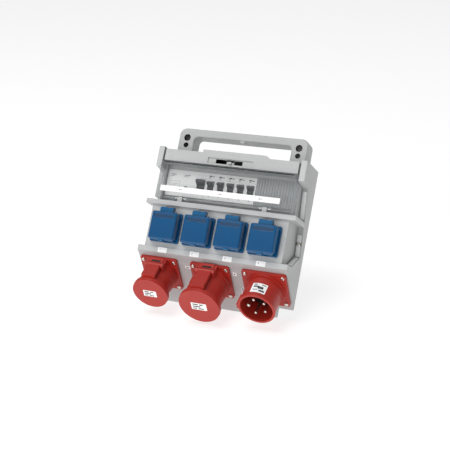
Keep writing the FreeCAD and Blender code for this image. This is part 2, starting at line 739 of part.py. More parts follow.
def make_terminals():
    """Carrier and brass bars for the neutral and earth wires, on the back wall of the shell."""
    back = S.shell_wall - S.bulge_back
    carrier = Piece("terminal_carrier")
    foot = box(-45.0, 45.0, 112.0, 136.0)
    carrier.pad("front", [foot], back, back + 6)
    saddles = [box(side * 36 - 4, side * 36 + 4, 114.0, 134.0) for side in (-1, 1)]
    carrier.pad("front", saddles, back + 5, back + 12)
    bars = []
    for number, height in enumerate((116.0, 125.5), start=1):
        bar = block(f"terminal_bar_{number}", (-40.0, 40.0), (back + 12, back + 20), (height, height + 7.0))
        for place in range(9):
            hole = cylinder(f"terminal_hole_{number}_{place}", 2.2, 9.0,
                            (place * 8.0 - 32.0, back + 11.5, height + 3.5), "D")
            bar = boolean("Cut", f"terminal_cut_{number}_{place}", bar, hole)
        bars.append(bar)
    Group("terminal_bars", bars)


# --------------------------------------------------------------------------- window

def make_window_lid():
    """Clear box-shaped lid over the devices, hinged along its lower edge."""
    lid = Piece("window_lid")
    wall = S.lid_wall
    lid.pad("front", [box(-S.lid_half, S.lid_half, S.lid_low, S.lid_top)], S.lid_back_d, S.lid_front_d)
    lid.soften("Fillet", 3.0, lambda middle, along, straight: (
        straight and abs(along.y) > 0.9))
    lid.soften("Fillet", 2.0, lambda middle, along, straight: middle.y < 0.1 - S.lid_front_d.value)
    inner = box(wall - S.lid_half, S.lid_half - wall, S.lid_low + wall, S.lid_top - wall)
    lid.cut("front", [inner], S.lid_back_d, S.lid_front_d - wall)
    # notches for the cover's hinge knuckles
    gap = S.play + 0.3
    for side in (-1, 1):
        edges = sorted((side * (HINGE_IN - gap.value), side * (HINGE_OUT + gap.value)))
        notch = box(edges[0], edges[1], S.lid_low, S.lid_hinge_z + 5)
        lid.cut("front", [notch], S.lid_hinge_d - 8, S.lid_front_d)
        # the lid's own knuckles, one each side of the cover's
        for start in (HINGE_IN - 6.6, HINGE_OUT + 0.6):
            low_x, high_x = sorted((side * start, side * (start + 6.0)))
            knuckle = box(S.lid_hinge_d - 3.0, S.lid_hinge_d + 3.0,
                          S.lid_low + wall - 0.5, S.lid_hinge_z + 3.0)
            lid.pad("side", [knuckle], low_x, high_x)
        low_x, high_x = sorted((side * (HINGE_IN - 6.6), side * (HINGE_OUT + 6.6)))
        lid.cut("side", [disc(S.lid_hinge_d, S.lid_hinge_z, S.lid_pin_rad + S.running)], low_x, high_x)
    return lid


def make_window_pins():
    """The two hinge pins of the window lid."""
    start = HINGE_IN - 6.4
    long = HINGE_OUT + 6.4 - start
    pins = []
    for side in (-1, 1):
        left = start if side > 0 else -start - long
        pins.append(cylinder(f"window_pin_{side + 1}", S.lid_pin_rad, long,
                             (left, S.lid_hinge_d, S.lid_hinge_z), "X"))
    Group("window_hinge_pins", pins)


def make_window_catch():
    """Sliding catch in the recess of the hood, with a raised thumb tab."""
    catch = Piece("window_catch")
    low = S.hood_low + 3
    catch.pad("front", [box(-6.0, 6.0, low, low + 3.8)], S.hood_d - S.cover_wall - 0.8, S.hood_d + 1.2)
    catch.pad("front", [box(-6.0, 6.0, low, low + 3.8)], S.hood_d + 0.5, S.hood_d + 4.5)
    return catch


def make_window_label():
    """Blank writing strip along the lower part of the window."""
    strip = Piece("window_label")
    strip.pad("front", [box(-111.5, 98.0, 170.3, 179.7)], S.lid_front_d, S.lid_front_d + 0.4)
    return strip


# --------------------------------------------------------------------------- household sockets

COLLAR_HALF = 20.5
COLLAR_TALL = 8.5
NECK_HALF = 11.5
BLUE_PIN_RAD = 1.5


def make_blue_socket(number, along_x):
    """One household socket: flanged base, contact insert and sprung lid."""
    mid = S.blue_z
    half = S.blue_flange / 2
    face = S.panel_d
    front = face + 4
    base = Piece(f"socket_base_{number}")
    base.pad("front", [box(along_x - half, along_x + half, mid - half, mid + half)], face, front)
    base.soften("Fillet", 3.0, lambda middle, along, straight: straight and abs(along.y) > 0.9)
    collar = box(along_x - COLLAR_HALF, along_x + COLLAR_HALF, mid - COLLAR_HALF, mid + COLLAR_HALF)
    base.pad("front", [collar], face + 2, front + COLLAR_TALL)
    base.pad("front", [disc(along_x, mid, BLUE_BACK_RAD)], face - 26, face + 1)
    base.cut("front", [disc(along_x, mid, S.blue_well_rad)], face - 23, front + COLLAR_TALL)
    arm = box(along_x - 5, along_x - 1, mid + half - 4, S.blue_hinge_z)
    base.pad("front", [arm], front - 2, S.blue_hinge_d + 3.5)
    hinge = disc(S.blue_hinge_d, S.blue_hinge_z, 4.0)
    base.pad("side", [hinge], along_x - 5, along_x - 1)
    bore = disc(S.blue_hinge_d, S.blue_hinge_z, BLUE_PIN_RAD + S.running)
    base.cut("side", [bore], along_x - 6, along_x)

    insert = Piece(f"socket_insert_{number}")
    floor = front + COLLAR_TALL - 17.5
    insert.pad("front", [disc(along_x, mid, S.blue_well_rad - 0.05)], face - 23, floor)
    holes = [disc(along_x + side * 9.5, mid, 2.5) for side in (-1, 1)]
    insert.cut("front", holes, floor - 8, floor)

    lid = Piece(f"socket_lid_{number}")
    wide = S.blue_lid_wide / 2
    tall = S.blue_lid_tall / 2
    back = front + COLLAR_TALL + 0.5
    lid.pad("front", [box(along_x - wide, along_x + wide, mid - tall, mid + tall)], back, S.blue_lid_d)
    lid.soften("Fillet", 3.0, lambda middle, along, straight: straight and abs(along.y) > 0.9)
    lid.soften("Chamfer", 1.6, lambda middle, along, straight: middle.y < 0.1 - S.blue_lid_d.value)
    skirt = COLLAR_HALF + 0.4
    for side in (-1, 1):
        edges = (along_x - wide, along_x - skirt) if side < 0 else (along_x + skirt, along_x + wide)
        lid.pad("front", [box(edges[0], edges[1], mid - tall + 3, mid + tall - 3)], front + 0.6, back + 1)
    lower_skirt = box(along_x - wide + 3, along_x + wide - 3, mid - tall, mid - skirt)
    lid.pad("front", [lower_skirt], front + 0.6, back + 1)
    # finger tab on the lower edge
    tab = box(along_x - 4.5, along_x + 4.5, mid - tall - 2.5, mid - tall + 2)
    lid.pad("front", [tab], back + 1, S.blue_lid_d - 1)
    # shallow label recess near the top
    recess = box(along_x - 17.5, along_x + 17.5, mid + tall - 11, mid + tall - 4)
    lid.cut("front", [recess], S.blue_lid_d - 0.8, S.blue_lid_d)
    # neck and two hinge knuckles
    neck = box(along_x - NECK_HALF, along_x + NECK_HALF, mid + tall - 2, S.blue_hinge_z + 2)
    lid.pad("front", [neck], S.blue_hinge_d + 4.6, S.blue_hinge_d + 6.6)
    for low_x, high_x in ((-NECK_HALF, -5.4), (5.4, NECK_HALF)):
        lid.pad("side", [hinge], along_x + low_x, along_x + high_x)
        link = box(S.blue_hinge_d, S.blue_hinge_d + 5, S.blue_hinge_z - 4, S.blue_hinge_z + 2)
        lid.pad("side", [link], along_x + low_x, along_x + high_x)
        lid.cut("side", [bore], along_x + low_x - 0.5, along_x + high_x + 0.5)


def make_blue_hardware():
    """Hinge pins, return springs and earth clips of the household sockets."""
    pins = []
    springs = []
    clips = []
    front = S.panel_d + 4
    floor = front + COLLAR_TALL - 17.5
    for number, along_x in enumerate(BLUE_X, start=1):
        hinge = (along_x - NECK_HALF + 0.2, S.blue_hinge_d, S.blue_hinge_z)
        pins.append(cylinder(f"blue_pin_{number}", BLUE_PIN_RAD, NECK_HALF * 2 - 0.4, hinge, "X"))
        coil_from = (along_x - 0.7, S.blue_hinge_d, S.blue_hinge_z)
        outer = cylinder(f"blue_spring_outer_{number}", 2.8, 5.8, coil_from, "X")
        inner = cylinder(f"blue_spring_inner_{number}", BLUE_PIN_RAD + 0.2, 5.8, coil_from, "X")
        springs.append(boolean("Cut", f"blue_spring_{number}", outer, inner))
        for side in (-1, 1):
            height = S.blue_z + side * (S.blue_well_rad - 2.6)
            clips.append(block(f"earth_clip_{number}_{side + 1}", (along_x - 3, along_x + 3),
                               (floor, floor + 12), (height - 0.8, height + 0.8)))
    Group("socket_hinge_pins", pins)
    Group("socket_lid_springs", springs)
    Group("socket_earth_clips", clips)


# --------------------------------------------------------------------------- round red sockets

ARM_HALF = 11.5
RED_PIN_RAD = 1.8
RED_KNUCKLE = 4.2
RED_HINGE_RISE = 5.4
DISC_THICK = 8.0
CONTACTS = 5


def contact_ring(radius, hole_rad, big_rad):
    """Five contacts on a circle, the earth one larger and at nine o'clock."""
    ring = []
    for number in range(CONTACTS):
        angle = math.radians(180.0 + number * 360.0 / CONTACTS)
        size = big_rad if number == 0 else hole_rad
        ring.append(disc(measure(radius) * math.cos(angle), measure(radius) * math.sin(angle), size))
    return ring


def make_red_socket(name, mounting, barrel, lid_rad, long):
    """One round socket: flanged housing, contact insert and hinged round lid."""
    half_wide = mounting.wide / 2
    half_tall = mounting.tall / 2
    hinge_up = barrel + RED_HINGE_RISE
    hinge = disc(S.red_hinge_out, hinge_up, RED_KNUCKLE)
    bore = disc(S.red_hinge_out, hinge_up, RED_PIN_RAD + S.running)
    end = long - DISC_THICK - 0.4

    housing = Piece(f"{name}_housing", mounting.local)
    housing.pad("front", [box(-half_wide, half_wide, -half_tall, half_tall)], 0.0, S.flange_thick)
    housing.soften("Fillet", 3.5, lambda middle, along, straight: straight and abs(along.y) > 0.9)
    housing.pad("front", [disc(0.0, 0.0, mounting.back_rad)], -20.0, 1.0)
    housing.pad("front", [disc(0.0, 0.0, barrel + 1.5)], S.flange_thick - 1, S.flange_thick + 9)
    shoulder = box(-ARM_HALF, ARM_HALF, barrel - 8, hinge_up + 1.5)
    housing.pad("front", [shoulder], S.flange_thick - 1, S.red_hinge_out - RED_KNUCKLE - 0.9)
    housing.pad("front", [disc(0.0, 0.0, barrel)], S.flange_thick - 1, end)
    for low_x, high_x in ((-ARM_HALF - 4.5, -ARM_HALF - 0.4), (ARM_HALF + 0.4, ARM_HALF + 4.5)):
        stem = box(S.flange_thick - 1, S.red_hinge_out + RED_KNUCKLE, barrel - 8, hinge_up)
        housing.pad("side", [stem], low_x, high_x)
        housing.pad("side", [hinge], low_x, high_x)
        housing.cut("side", [bore], low_x - 0.5, high_x + 0.5)
    housing.cut("front", [disc(0.0, 0.0, barrel - 3.0)], 2.0, end)
    housing.cut("front", mounting.bolts(0.0, SCREW_RAD + 0.2), 0.0, S.flange_thick)

    insert = Piece(f"{name}_insert", mounting.local)
    insert.pad("front", [disc(0.0, 0.0, barrel - 3.05)], 2.0, end - 22)
    insert.pad("front", [disc(0.0, 0.0, barrel - 6.5)], end - 23, end - 4)
    insert.cut("front", contact_ring(barrel * 0.5, 3.0, 3.7), end - 24, end - 4)

    lid = Piece(f"{name}_lid", mounting.local)
    lid.pad("front", [disc(0.0, 0.0, lid_rad)], long - DISC_THICK, long)
    arm = box(-ARM_HALF, ARM_HALF, barrel + 2.4, barrel + 8.4)
    lid.pad("front", [arm], S.red_hinge_out, long - DISC_THICK + 1)
    lid.pad("side", [hinge], -ARM_HALF, ARM_HALF)
    lid.cut("side", [bore], -ARM_HALF - 0.5, ARM_HALF + 0.5)


def make_red_pins():
    """Hinge pins of the two round lids."""
    reach = ARM_HALF + 4.3
    solids = []
    for name, mounting, barrel in (("left", LEFT, S.left_barrel), ("middle", MIDDLE, S.mid_barrel)):
        place = (-reach, S.red_hinge_out, barrel + RED_HINGE_RISE)
        pin = cylinder(f"red_pin_{name}", RED_PIN_RAD, reach * 2, place, "X")
        solids.append(moved(pin, mounting))
    Group("red_lid_pins", solids)


def moved(solid, mounting):
    """Carry a primitive from a mounting's own frame into the box's frame."""
    joined = doc.addObject("Part::Compound", f"{solid.Name}_set")
    joined.Links = [solid]
    joined.Placement = mounting.local
    return joined


PIN_ROOT = 3.0
PIN_RECESS = 4.0


def make_inlet():
    """Appliance inlet: flanged shroud with an outer key, pin carrier and five pins."""
    half_wide = INLET.wide / 2
    half_tall = INLET.tall / 2
    floor = 14.0
    housing = Piece("inlet_housing", INLET.local)
    housing.pad("front", [box(-half_wide, half_wide, -half_tall, half_tall)], 0.0, S.flange_thick)
    housing.soften("Fillet", 3.5, lambda middle, along, straight: straight and abs(along.y) > 0.9)
    housing.pad("front", [disc(0.0, 0.0, INLET.back_rad)], -20.0, 1.0)
    housing.pad("front", [disc(0.0, 0.0, S.shroud_rad + 3.3)], S.flange_thick - 1, S.flange_thick + 4)
    housing.pad("front", [disc(0.0, 0.0, S.shroud_rad)], S.flange_thick - 1, S.shroud_long)
    key = box(-S.shroud_rad - 3.5, 4 - S.shroud_rad, -5.0, 5.0)
    housing.pad("front", [key], S.shroud_long - 22, S.shroud_long - 0.5)
    housing.cut("front", [disc(0.0, 0.0, S.shroud_rad - 2.8)], 2.0, S.shroud_long)
    housing.cut("front", INLET.bolts(0.0, SCREW_RAD + 0.2), 0.0, S.flange_thick)

    carrier = Piece("inlet_pin_carrier", INLET.local)
    carrier.pad("front", [disc(0.0, 0.0, S.shroud_rad - 2.85)], 2.0, floor)
    carrier.cut("front", contact_ring(15.0, 2.5, 3.1), 3.0, floor)

    pins = []
    for number, (_, size_u, size_v, radius) in enumerate(contact_ring(15.0, 2.5, 3.1)):
        long = S.shroud_long - PIN_RECESS - PIN_ROOT
        pin = cylinder(f"inlet_pin_{number}", radius, long, (size_u, PIN_ROOT, size_v), "D")
        pins.append(moved(pin, INLET))
    Group("inlet_pins", pins)


def screw(name, place, head_rad, head_tall, shank_rad, long):
    """Pan-head screw standing on a face at a given D, its shank going back."""
    along_x, face, height = place
    head = cylinder(f"{name}_head", head_rad, head_tall, (along_x, face, height), "D")
    shank = cylinder(f"{name}_shank", shank_rad, long, (along_x, face - long, height), "D")
    return boolean("Fuse", name, head, shank)


def make_screws():
    """Flange screws and cover screws."""
    flange_screws = []
    for name, mounting in MOUNTINGS.items():
        for number, (_, along_x, height, _) in enumerate(mounting.bolts(0.0, SCREW_RAD), start=1):
            solid = screw(f"flange_screw_{name}_{number}", (along_x, S.flange_thick, height), 3.4, 2.2,
                          SCREW_RAD, S.flange_thick + S.cover_wall + 4)
            flange_screws.append(moved(solid, mounting))
    Group("flange_screws", flange_screws)
    cover_screws = []
    for side in (-1, 1):
        place = (side * COVER_SCREW_X, rim_d(COVER_SCREW_Z) + 0.75, COVER_SCREW_Z)
        cover_screws.append(screw(f"cover_screw_{side + 1}", place, 3.4, 2.4, 1.8, 9.0))
    Group("cover_screws", cover_screws)


def make_labels():
    """Plain number plates under the household sockets and blank rating plates."""
    plates = []
    face = S.lower_rail_d
    mid = (S.lower_rail_low + S.lower_rail_top) / 2
    for number, along_x in enumerate(BLUE_X, start=1):
        plates.append(block(f"number_plate_{number}", (along_x - 8, along_x + 8), (face, face + 0.4),
                            (mid - 4.3, mid + 4.3)))
    Group("number_plates", plates)
    for name, mounting, lid_rad, long in (
            ("left", LEFT, S.left_disc, S.left_long), ("middle", MIDDLE, S.mid_disc, S.mid_long)):
        plate = Piece(f"{name}_lid_plate", mounting.local)
        wide = lid_rad * 0.42
        plate.pad("front", [box(-wide, wide, -lid_rad * 0.22, lid_rad * 0.26)], long, long + 0.3)


# --------------------------------------------------------------------------- rear stand

def make_stand():
    """Bent steel bail that swings out behind the box and rests on the floor."""
    rad = S.stand_rad
    half = S.stand_half
    long = S.stand_long
    bend = 14.0
    reach = half + STAND_BEND + 0.6 + 7.6
    points = [
        FreeCAD.Vector(-reach.value, 0, 0), FreeCAD.Vector(-half.value, 0, 0),
        FreeCAD.Vector(-half.value, 0, -long.value), FreeCAD.Vector(half.value, 0, -long.value),
        FreeCAD.Vector(half.value, 0, 0), FreeCAD.Vector(reach.value, 0, 0),
    ]
    radii = [0.0, STAND_BEND, bend, bend, STAND_BEND, 0.0]
    route = rounded_route(points, radii)
    start = Part.Wire(Part.makeCircle(rad.value, points[0], FreeCAD.Vector(1, 0, 0)))
    pipe = Part.Wire(route).makePipeShell([start], True, True)
    bail = doc.addObject("Part::Feature", "stand_bail")
    bail.Label = "stand_bail"
    bail.Shape = Part.Solid(pipe) if pipe.ShapeType == "Shell" else pipe
    return Holder("stand_bail", bail)


class Holder:
    """One sub-part whose shape is made directly from the sheet's sizes."""

    def __init__(self, label, thing):
        self.label = label
        self.thing = thing
        self.local = FreeCAD.Placement()
        pieces[label] = self


def rounded_route(points, radii):
    """Straight runs through the points, joined by tangent arcs of the given radii."""
    edges = []
    last = points[0]
    for index in range(1, len(points) - 1):
        here = points[index]
        back = (points[index - 1] - here).normalize()
        ahead = (points[index + 1] - here).normalize()
        turn = math.pi - back.getAngle(ahead)
        setback = radii[index] * math.tan(turn / 2)
        into = here + back * setback
        out = here + ahead * setback
        centre_way = (back + ahead).normalize()
        depth = radii[index] / math.cos(turn / 2) - radii[index]
        edges.append(Part.LineSegment(last, into).toShape())
        edges.append(Part.Arc(into, here + centre_way * depth, out).toShape())
        last = out
    edges.append(Part.LineSegment(last, points[-1]).toShape())
    return edges


# --------------------------------------------------------------------------- assembly

def lean():
    """Rotation and lift that stand the box on its lower edge, leaning back."""
    turn = FreeCAD.Rotation(FreeCAD.Vector(1, 0, 0), -S.lean_deg.value)
    lift = -turn.multVec(FreeCAD.Vector(0, -FOOT_D.value, 0)).z
    return FreeCAD.Placement(FreeCAD.Vector(0, 0, lift), turn)


def stand_placement(leaning):
    """Where the open bail stands: hung from the lugs, its foot bar on the floor."""
    axle = leaning.multVec(FreeCAD.Vector(0, (S.bulge_back + S.stand_gap).value, S.stand_z.value))
    reach = (axle.z - S.stand_rad.value) / S.stand_long.value
    swing = math.degrees(math.acos(reach))
    return FreeCAD.Placement(axle, FreeCAD.Rotation(FreeCAD.Vector(1, 0, 0), swing)), swing


def build():
    make_rear_shell()
    make_carry_handle()
    make_front_cover()
    make_cover_seal()
    make_device_rail()
    make_leakage_switch()
    make_breakers()
    make_blanking_strip()
    make_terminals()
    make_window_lid()
    make_window_pins()
    make_window_catch()
    make_window_label()
    for number, along_x in enumerate(BLUE_X, start=1):
        make_blue_socket(number, along_x)
    make_blue_hardware()
    make_red_socket("left_socket", LEFT, S.left_barrel, S.left_disc, S.left_long)
    make_red_socket("middle_socket", MIDDLE, S.mid_barrel, S.mid_disc, S.mid_long)
    make_red_pins()
    make_inlet()
    make_screws()
    make_labels()
    make_stand()


def place_all():
    """Lean every piece back and centre the footprint on the origin."""
    leaning = lean()
    for label, piece in pieces.items():
        piece.thing.Placement = leaning.multiply(piece.local)
    pieces["stand_bail"].thing.Placement, swing = stand_placement(leaning)
    doc.recompute()
    bounds = FreeCAD.BoundBox()
    for piece in pieces.values():
        bounds.add(piece.thing.Shape.optimalBoundingBox(False))
    shift = FreeCAD.Vector(0, -(bounds.YMin + bounds.YMax) / 2, 0)
    for piece in pieces.values():
        piece.thing.Placement.Base = piece.thing.Placement.Base + shift
    doc.recompute()
    print("lean lift and shift", leaning.Base, shift, "stand swing", round(swing, 3))
    print("overall", bounds)


def write_all():
    """Check every object and piece, then write one STEP file for each piece."""
    for item in doc.Objects:
        if "Invalid" in item.State or "Error" in item.State:
            raise ValueError(f"{item.Label} failed")
    os.makedirs("parts", exist_ok=True)
    for label, piece in pieces.items():
        shape = piece.thing.Shape
        if shape.isNull() or not shape.isValid() or not shape.Solids:
            raise ValueError(f"{label} has no valid solid")
        shape.exportStep(f"parts/{label}.step")
    print(len(pieces), "pieces written")


build()
place_all()
write_all()
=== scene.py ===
import json
import logging
import math
from collections.abc import Iterable, Sequence
from dataclasses import dataclass, field

import bmesh
import bpy
from mathutils import Matrix, Vector


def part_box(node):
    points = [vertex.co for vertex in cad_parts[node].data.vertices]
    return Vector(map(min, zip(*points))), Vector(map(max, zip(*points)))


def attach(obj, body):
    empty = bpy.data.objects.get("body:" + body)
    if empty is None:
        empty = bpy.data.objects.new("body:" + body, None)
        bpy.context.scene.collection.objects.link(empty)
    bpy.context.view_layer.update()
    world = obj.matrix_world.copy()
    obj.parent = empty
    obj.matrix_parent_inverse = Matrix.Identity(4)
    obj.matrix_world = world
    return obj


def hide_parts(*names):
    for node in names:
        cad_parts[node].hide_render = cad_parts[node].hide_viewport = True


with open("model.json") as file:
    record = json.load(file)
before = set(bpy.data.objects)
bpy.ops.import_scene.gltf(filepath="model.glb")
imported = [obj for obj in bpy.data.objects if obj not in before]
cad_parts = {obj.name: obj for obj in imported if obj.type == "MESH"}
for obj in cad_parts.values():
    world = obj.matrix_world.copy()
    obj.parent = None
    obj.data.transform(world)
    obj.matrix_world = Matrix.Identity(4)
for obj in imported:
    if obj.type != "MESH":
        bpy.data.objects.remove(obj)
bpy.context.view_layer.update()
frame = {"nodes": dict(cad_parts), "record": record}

MM = 0.001
LOG = logging.getLogger("distribution_box")

Point = tuple[float, float, float]
Outline = Sequence[tuple[float, float]]
Bar = tuple[float, float, float, float]


# ------------------------------------------------------------------ frames of reference

@dataclass(frozen=True)
class Place:
    """A frame in which pieces are drawn: X right, D out of a face, Z up along that face, in mm."""

    matrix: Matrix

    def at(self, along_x: float, out: float, up: float) -> Vector:
        """Point of this frame in metres of the row frame."""
        return self.matrix @ (Vector((along_x, -out, up)) * MM)


def mount_of(name: str) -> tuple[Vector, Vector]:
    """Position and axis of a mount of the record.

    Args:
        name: the mount's name.

    Returns:
        Its point in metres and its unit axis.
    """
    entry = next(item for item in frame["record"]["mounts"] if item["name"] == name)
    return Vector(entry["pos_m"]), Vector(entry["axis"]).normalized()


def face_place(point: Vector, outward: Vector, known: Point) -> Place:
    """Frame whose D runs along a mount's axis.

    Args:
        point: a point in the row frame, in metres.
        outward: the direction of D.
        known: where that point is in the new frame, in mm.

    Returns:
        The frame.
    """
    right = Vector((1.0, 0.0, 0.0))
    up = outward.cross(right).normalized()
    turn = Matrix((right, -outward, up)).transposed()
    origin = point - turn @ (Vector((known[0], -known[1], known[2])) * MM)
    return Place(Matrix.Translation(origin) @ turn.to_4x4())


HANDLE_THICK = 30.0
LARGE_HOLE_Z = 275.6


def box_place() -> Place:
    """Frame of the box: X from its middle, D out of its front, Z up along its front."""
    left, outward = mount_of("handle_large_hole_left")
    right, _ = mount_of("handle_large_hole_right")
    return face_place((left + right) / 2, outward, (0.0, -HANDLE_THICK / 2, LARGE_HOLE_Z))


BOX = box_place()


# ------------------------------------------------------------------ colour and shader helpers

def linear(hex_colour: str) -> tuple[float, float, float, float]:
    """Linear colour with full alpha from an sRGB hex value such as "#C8C9C8"."""
    parts = [int(hex_colour[i:i + 2], 16) / 255.0 for i in (1, 3, 5)]
    turned = [part / 12.92 if part <= 0.04045 else ((part + 0.055) / 1.055) ** 2.4 for part in parts]
    return (turned[0], turned[1], turned[2], 1.0)


def add_node(
    tree: bpy.types.NodeTree,
    kind: str,
    settings: dict[str, object] | None = None,
    inputs: dict[str, object] | None = None,
) -> bpy.types.Node:
    """Add a shader node with its settings, constant inputs and links.

    Args:
        tree: the material's node tree.
        kind: the node's type name.
        settings: attributes of the node.
        inputs: value of each named input, or the output socket that feeds it.

    Returns:
        The new node.
    """
    node = tree.nodes.new(kind)
    for name, value in (settings or {}).items():
        setattr(node, name, value)
    for name, value in (inputs or {}).items():
        socket = node.inputs[name]
        if isinstance(value, bpy.types.NodeSocket):
            tree.links.new(value, socket)
        else:
            socket.default_value = value
    return node


class Finish:
    """Base of every finish: makes its material once and gives it to objects."""

    title: str
    slot: str

    def paint(self, tree: bpy.types.NodeTree, shader: bpy.types.Node) -> None:
        """Set the nodes of the finish around its principled shader."""
        raise NotImplementedError

    def material(self) -> bpy.types.Material:
        """The finish's material, made at its first use."""
        known = bpy.data.materials.get(self.title)
        if known:
            return known
        made = bpy.data.materials.new(self.title)
        made.use_nodes = True
        shader = next(node for node in made.node_tree.nodes if node.type == "BSDF_PRINCIPLED")
        self.paint(made.node_tree, shader)
        return made

    def dress(self, piece: bpy.types.Object) -> bpy.types.Object:
        """Give the whole object this finish."""
        piece.data.materials.clear()
        piece.data.materials.append(self.material())
        return piece


@dataclass(frozen=True)
class MouldedPlastic(Finish):
    """Injection-moulded plastic: fine spark-eroded grain, slight flow mottling, and paler edges painted as a
    highlight.
    """

    title: str
    slot: str
    colour: str
    shade: str
    roughness: float
    grain_mm: float = 0.55
    grain_height_mm: float = 0.012
    # paler colour painted on convex edges as a highlight; empty for none
    edge: str = ""
    coat: float = 0.0

    def paint(self, tree: bpy.types.NodeTree, shader: bpy.types.Node) -> None:
        """Mottled colour, grain bump, and convex edges painted paler as a highlight."""
        where = add_node(tree, "ShaderNodeTexCoord")
        flow = add_node(tree, "ShaderNodeTexNoise", inputs={
            "Vector": where.outputs["Object"], "Scale": 1.0 / (38.0 * MM), "Detail": 3.0, "Roughness": 0.6})
        tint = add_node(tree, "ShaderNodeMix", {"data_type": "RGBA"}, {
            "Factor": flow.outputs["Fac"], "A": linear(self.colour), "B": linear(self.shade)})
        colour = tint.outputs["Result"]
        # painted highlight: convex edges, found by pointiness, blend towards the paler edge colour
        if self.edge:
            shape = add_node(tree, "ShaderNodeNewGeometry")
            edge_highlight_share = add_node(tree, "ShaderNodeMapRange", inputs={
                "Value": shape.outputs["Pointiness"], "From Min": 0.52, "From Max": 0.62,
                "To Min": 0.0, "To Max": 0.55})
            colour = add_node(tree, "ShaderNodeMix", {"data_type": "RGBA"}, {
                "Factor": edge_highlight_share.outputs["Result"], "A": colour, "B": linear(self.edge)}).outputs["Result"]
        tree.links.new(colour, shader.inputs["Base Color"])
        grain = add_node(tree, "ShaderNodeTexNoise", inputs={
            "Vector": where.outputs["Object"], "Scale": 1.0 / (self.grain_mm * MM), "Detail": 2.0})
        gloss = add_node(tree, "ShaderNodeMapRange", inputs={
            "Value": flow.outputs["Fac"], "To Min": self.roughness - 0.05, "To Max": self.roughness + 0.07})
        tree.links.new(gloss.outputs["Result"], shader.inputs["Roughness"])
        bump = add_node(tree, "ShaderNodeBump", inputs={
            "Height": grain.outputs["Fac"], "Distance": self.grain_height_mm * MM, "Strength": 0.8})
        tree.links.new(bump.outputs["Normal"], shader.inputs["Normal"])
        shader.inputs["IOR"].default_value = 1.5
        shader.inputs["Coat Weight"].default_value = self.coat
        shader.inputs["Coat Roughness"].default_value = 0.12


@dataclass(frozen=True)
class ClearSheet(Finish):
    """Clear polycarbonate: seen through from the front, brighter and greyer at a slant."""

    title: str = "clear_polycarbonate_moulded"
    slot: str = "clear"
    tint: str = "#C9CFD1"
    face_alpha: float = 0.02
    rim_alpha: float = 0.7

    def paint(self, tree: bpy.types.NodeTree, shader: bpy.types.Node) -> None:
        """Alpha grows with the slant of the view on the surface, as a clear sheet's sheen does."""
        where = add_node(tree, "ShaderNodeTexCoord")
        haze = add_node(tree, "ShaderNodeTexNoise", inputs={
            "Vector": where.outputs["Object"], "Scale": 1.0 / (25.0 * MM), "Detail": 2.0})
        facing = add_node(tree, "ShaderNodeLayerWeight", inputs={"Blend": 0.3})
        alpha = add_node(tree, "ShaderNodeMapRange", inputs={
            "Value": facing.outputs["Fresnel"], "To Min": self.face_alpha, "To Max": self.rim_alpha})
        tree.links.new(alpha.outputs["Result"], shader.inputs["Alpha"])
        gloss = add_node(tree, "ShaderNodeMapRange", inputs={
            "Value": haze.outputs["Fac"], "To Min": 0.03, "To Max": 0.1})
        tree.links.new(gloss.outputs["Result"], shader.inputs["Roughness"])
        shader.inputs["Base Color"].default_value = linear(self.tint)
        shader.inputs["IOR"].default_value = 1.585
        shader.inputs["Specular IOR Level"].default_value = 0.6


@dataclass(frozen=True)
class PlatedMetal(Finish):
    """Plated or bare metal: bright, with a fine satin grain from turning or drawing."""

    title: str
    slot: str
    colour: str
    roughness: float
    grain_mm: float = 0.25

    def paint(self, tree: bpy.types.NodeTree, shader: bpy.types.Node) -> None:
        """Metal with grain in its gloss and a trace of it in the surface."""
        where = add_node(tree, "ShaderNodeTexCoord")
        grain = add_node(tree, "ShaderNodeTexNoise", inputs={
            "Vector": where.outputs["Object"], "Scale": 1.0 / (self.grain_mm * MM), "Detail": 3.0})
        gloss = add_node(tree, "ShaderNodeMapRange", inputs={
            "Value": grain.outputs["Fac"], "To Min": self.roughness - 0.06, "To Max": self.roughness + 0.08})
        tree.links.new(gloss.outputs["Result"], shader.inputs["Roughness"])
        bump = add_node(tree, "ShaderNodeBump", inputs={
            "Height": grain.outputs["Fac"], "Distance": 0.004 * MM, "Strength": 0.5})
        tree.links.new(bump.outputs["Normal"], shader.inputs["Normal"])
        shader.inputs["Base Color"].default_value = linear(self.colour)
        shader.inputs["Metallic"].default_value = 1.0


@dataclass(frozen=True)
class PrintedFilm(Finish):
    """Matt self-adhesive film or printing ink: even, with a faint paper tooth."""

    title: str
    slot: str
    colour: str
    roughness: float = 0.55

    def paint(self, tree: bpy.types.NodeTree, shader: bpy.types.Node) -> None:
        """Even colour with a faint unevenness in its gloss."""
        where = add_node(tree, "ShaderNodeTexCoord")
        tooth = add_node(tree, "ShaderNodeTexNoise", inputs={
            "Vector": where.outputs["Object"], "Scale": 1.0 / (0.8 * MM), "Detail": 2.0})
        gloss = add_node(tree, "ShaderNodeMapRange", inputs={
            "Value": tooth.outputs["Fac"], "To Min": self.roughness - 0.08, "To Max": self.roughness + 0.08})
        tree.links.new(gloss.outputs["Result"], shader.inputs["Roughness"])
        shader.inputs["Base Color"].default_value = linear(self.colour)


# Light grey polycarbonate, spark-eroded mould: even and softly matt, with its edges painted paler as a
# highlight.
HOUSING = MouldedPlastic("polycarbonate_light_grey_moulded", "housing", "#BBBCBC", "#B5B6B6", 0.46,
                         edge="#CDCFCF")
# The same plastic in a smoother mould, for the ribbed strip.
STRIP = MouldedPlastic("polycarbonate_grey_smooth", "housing", "#AEB0B1", "#A6A8A9", 0.36, 0.9, 0.006)
# Blue polyamide from a polished mould, with a painted highlight: every bevel is coloured a paler blue.
BLUE = MouldedPlastic("polyamide_blue_polished", "blue", "#005082", "#004A79", 0.24, 0.8, 0.003,
                      edge="#2F7FAE", coat=0.05)
# Deeper blue inside the sockets, where the same plastic lies in shade.
BLUE_INNER = MouldedPlastic("polyamide_blue_inner", "blue", "#013E66", "#01385D", 0.4, 0.8, 0.004)
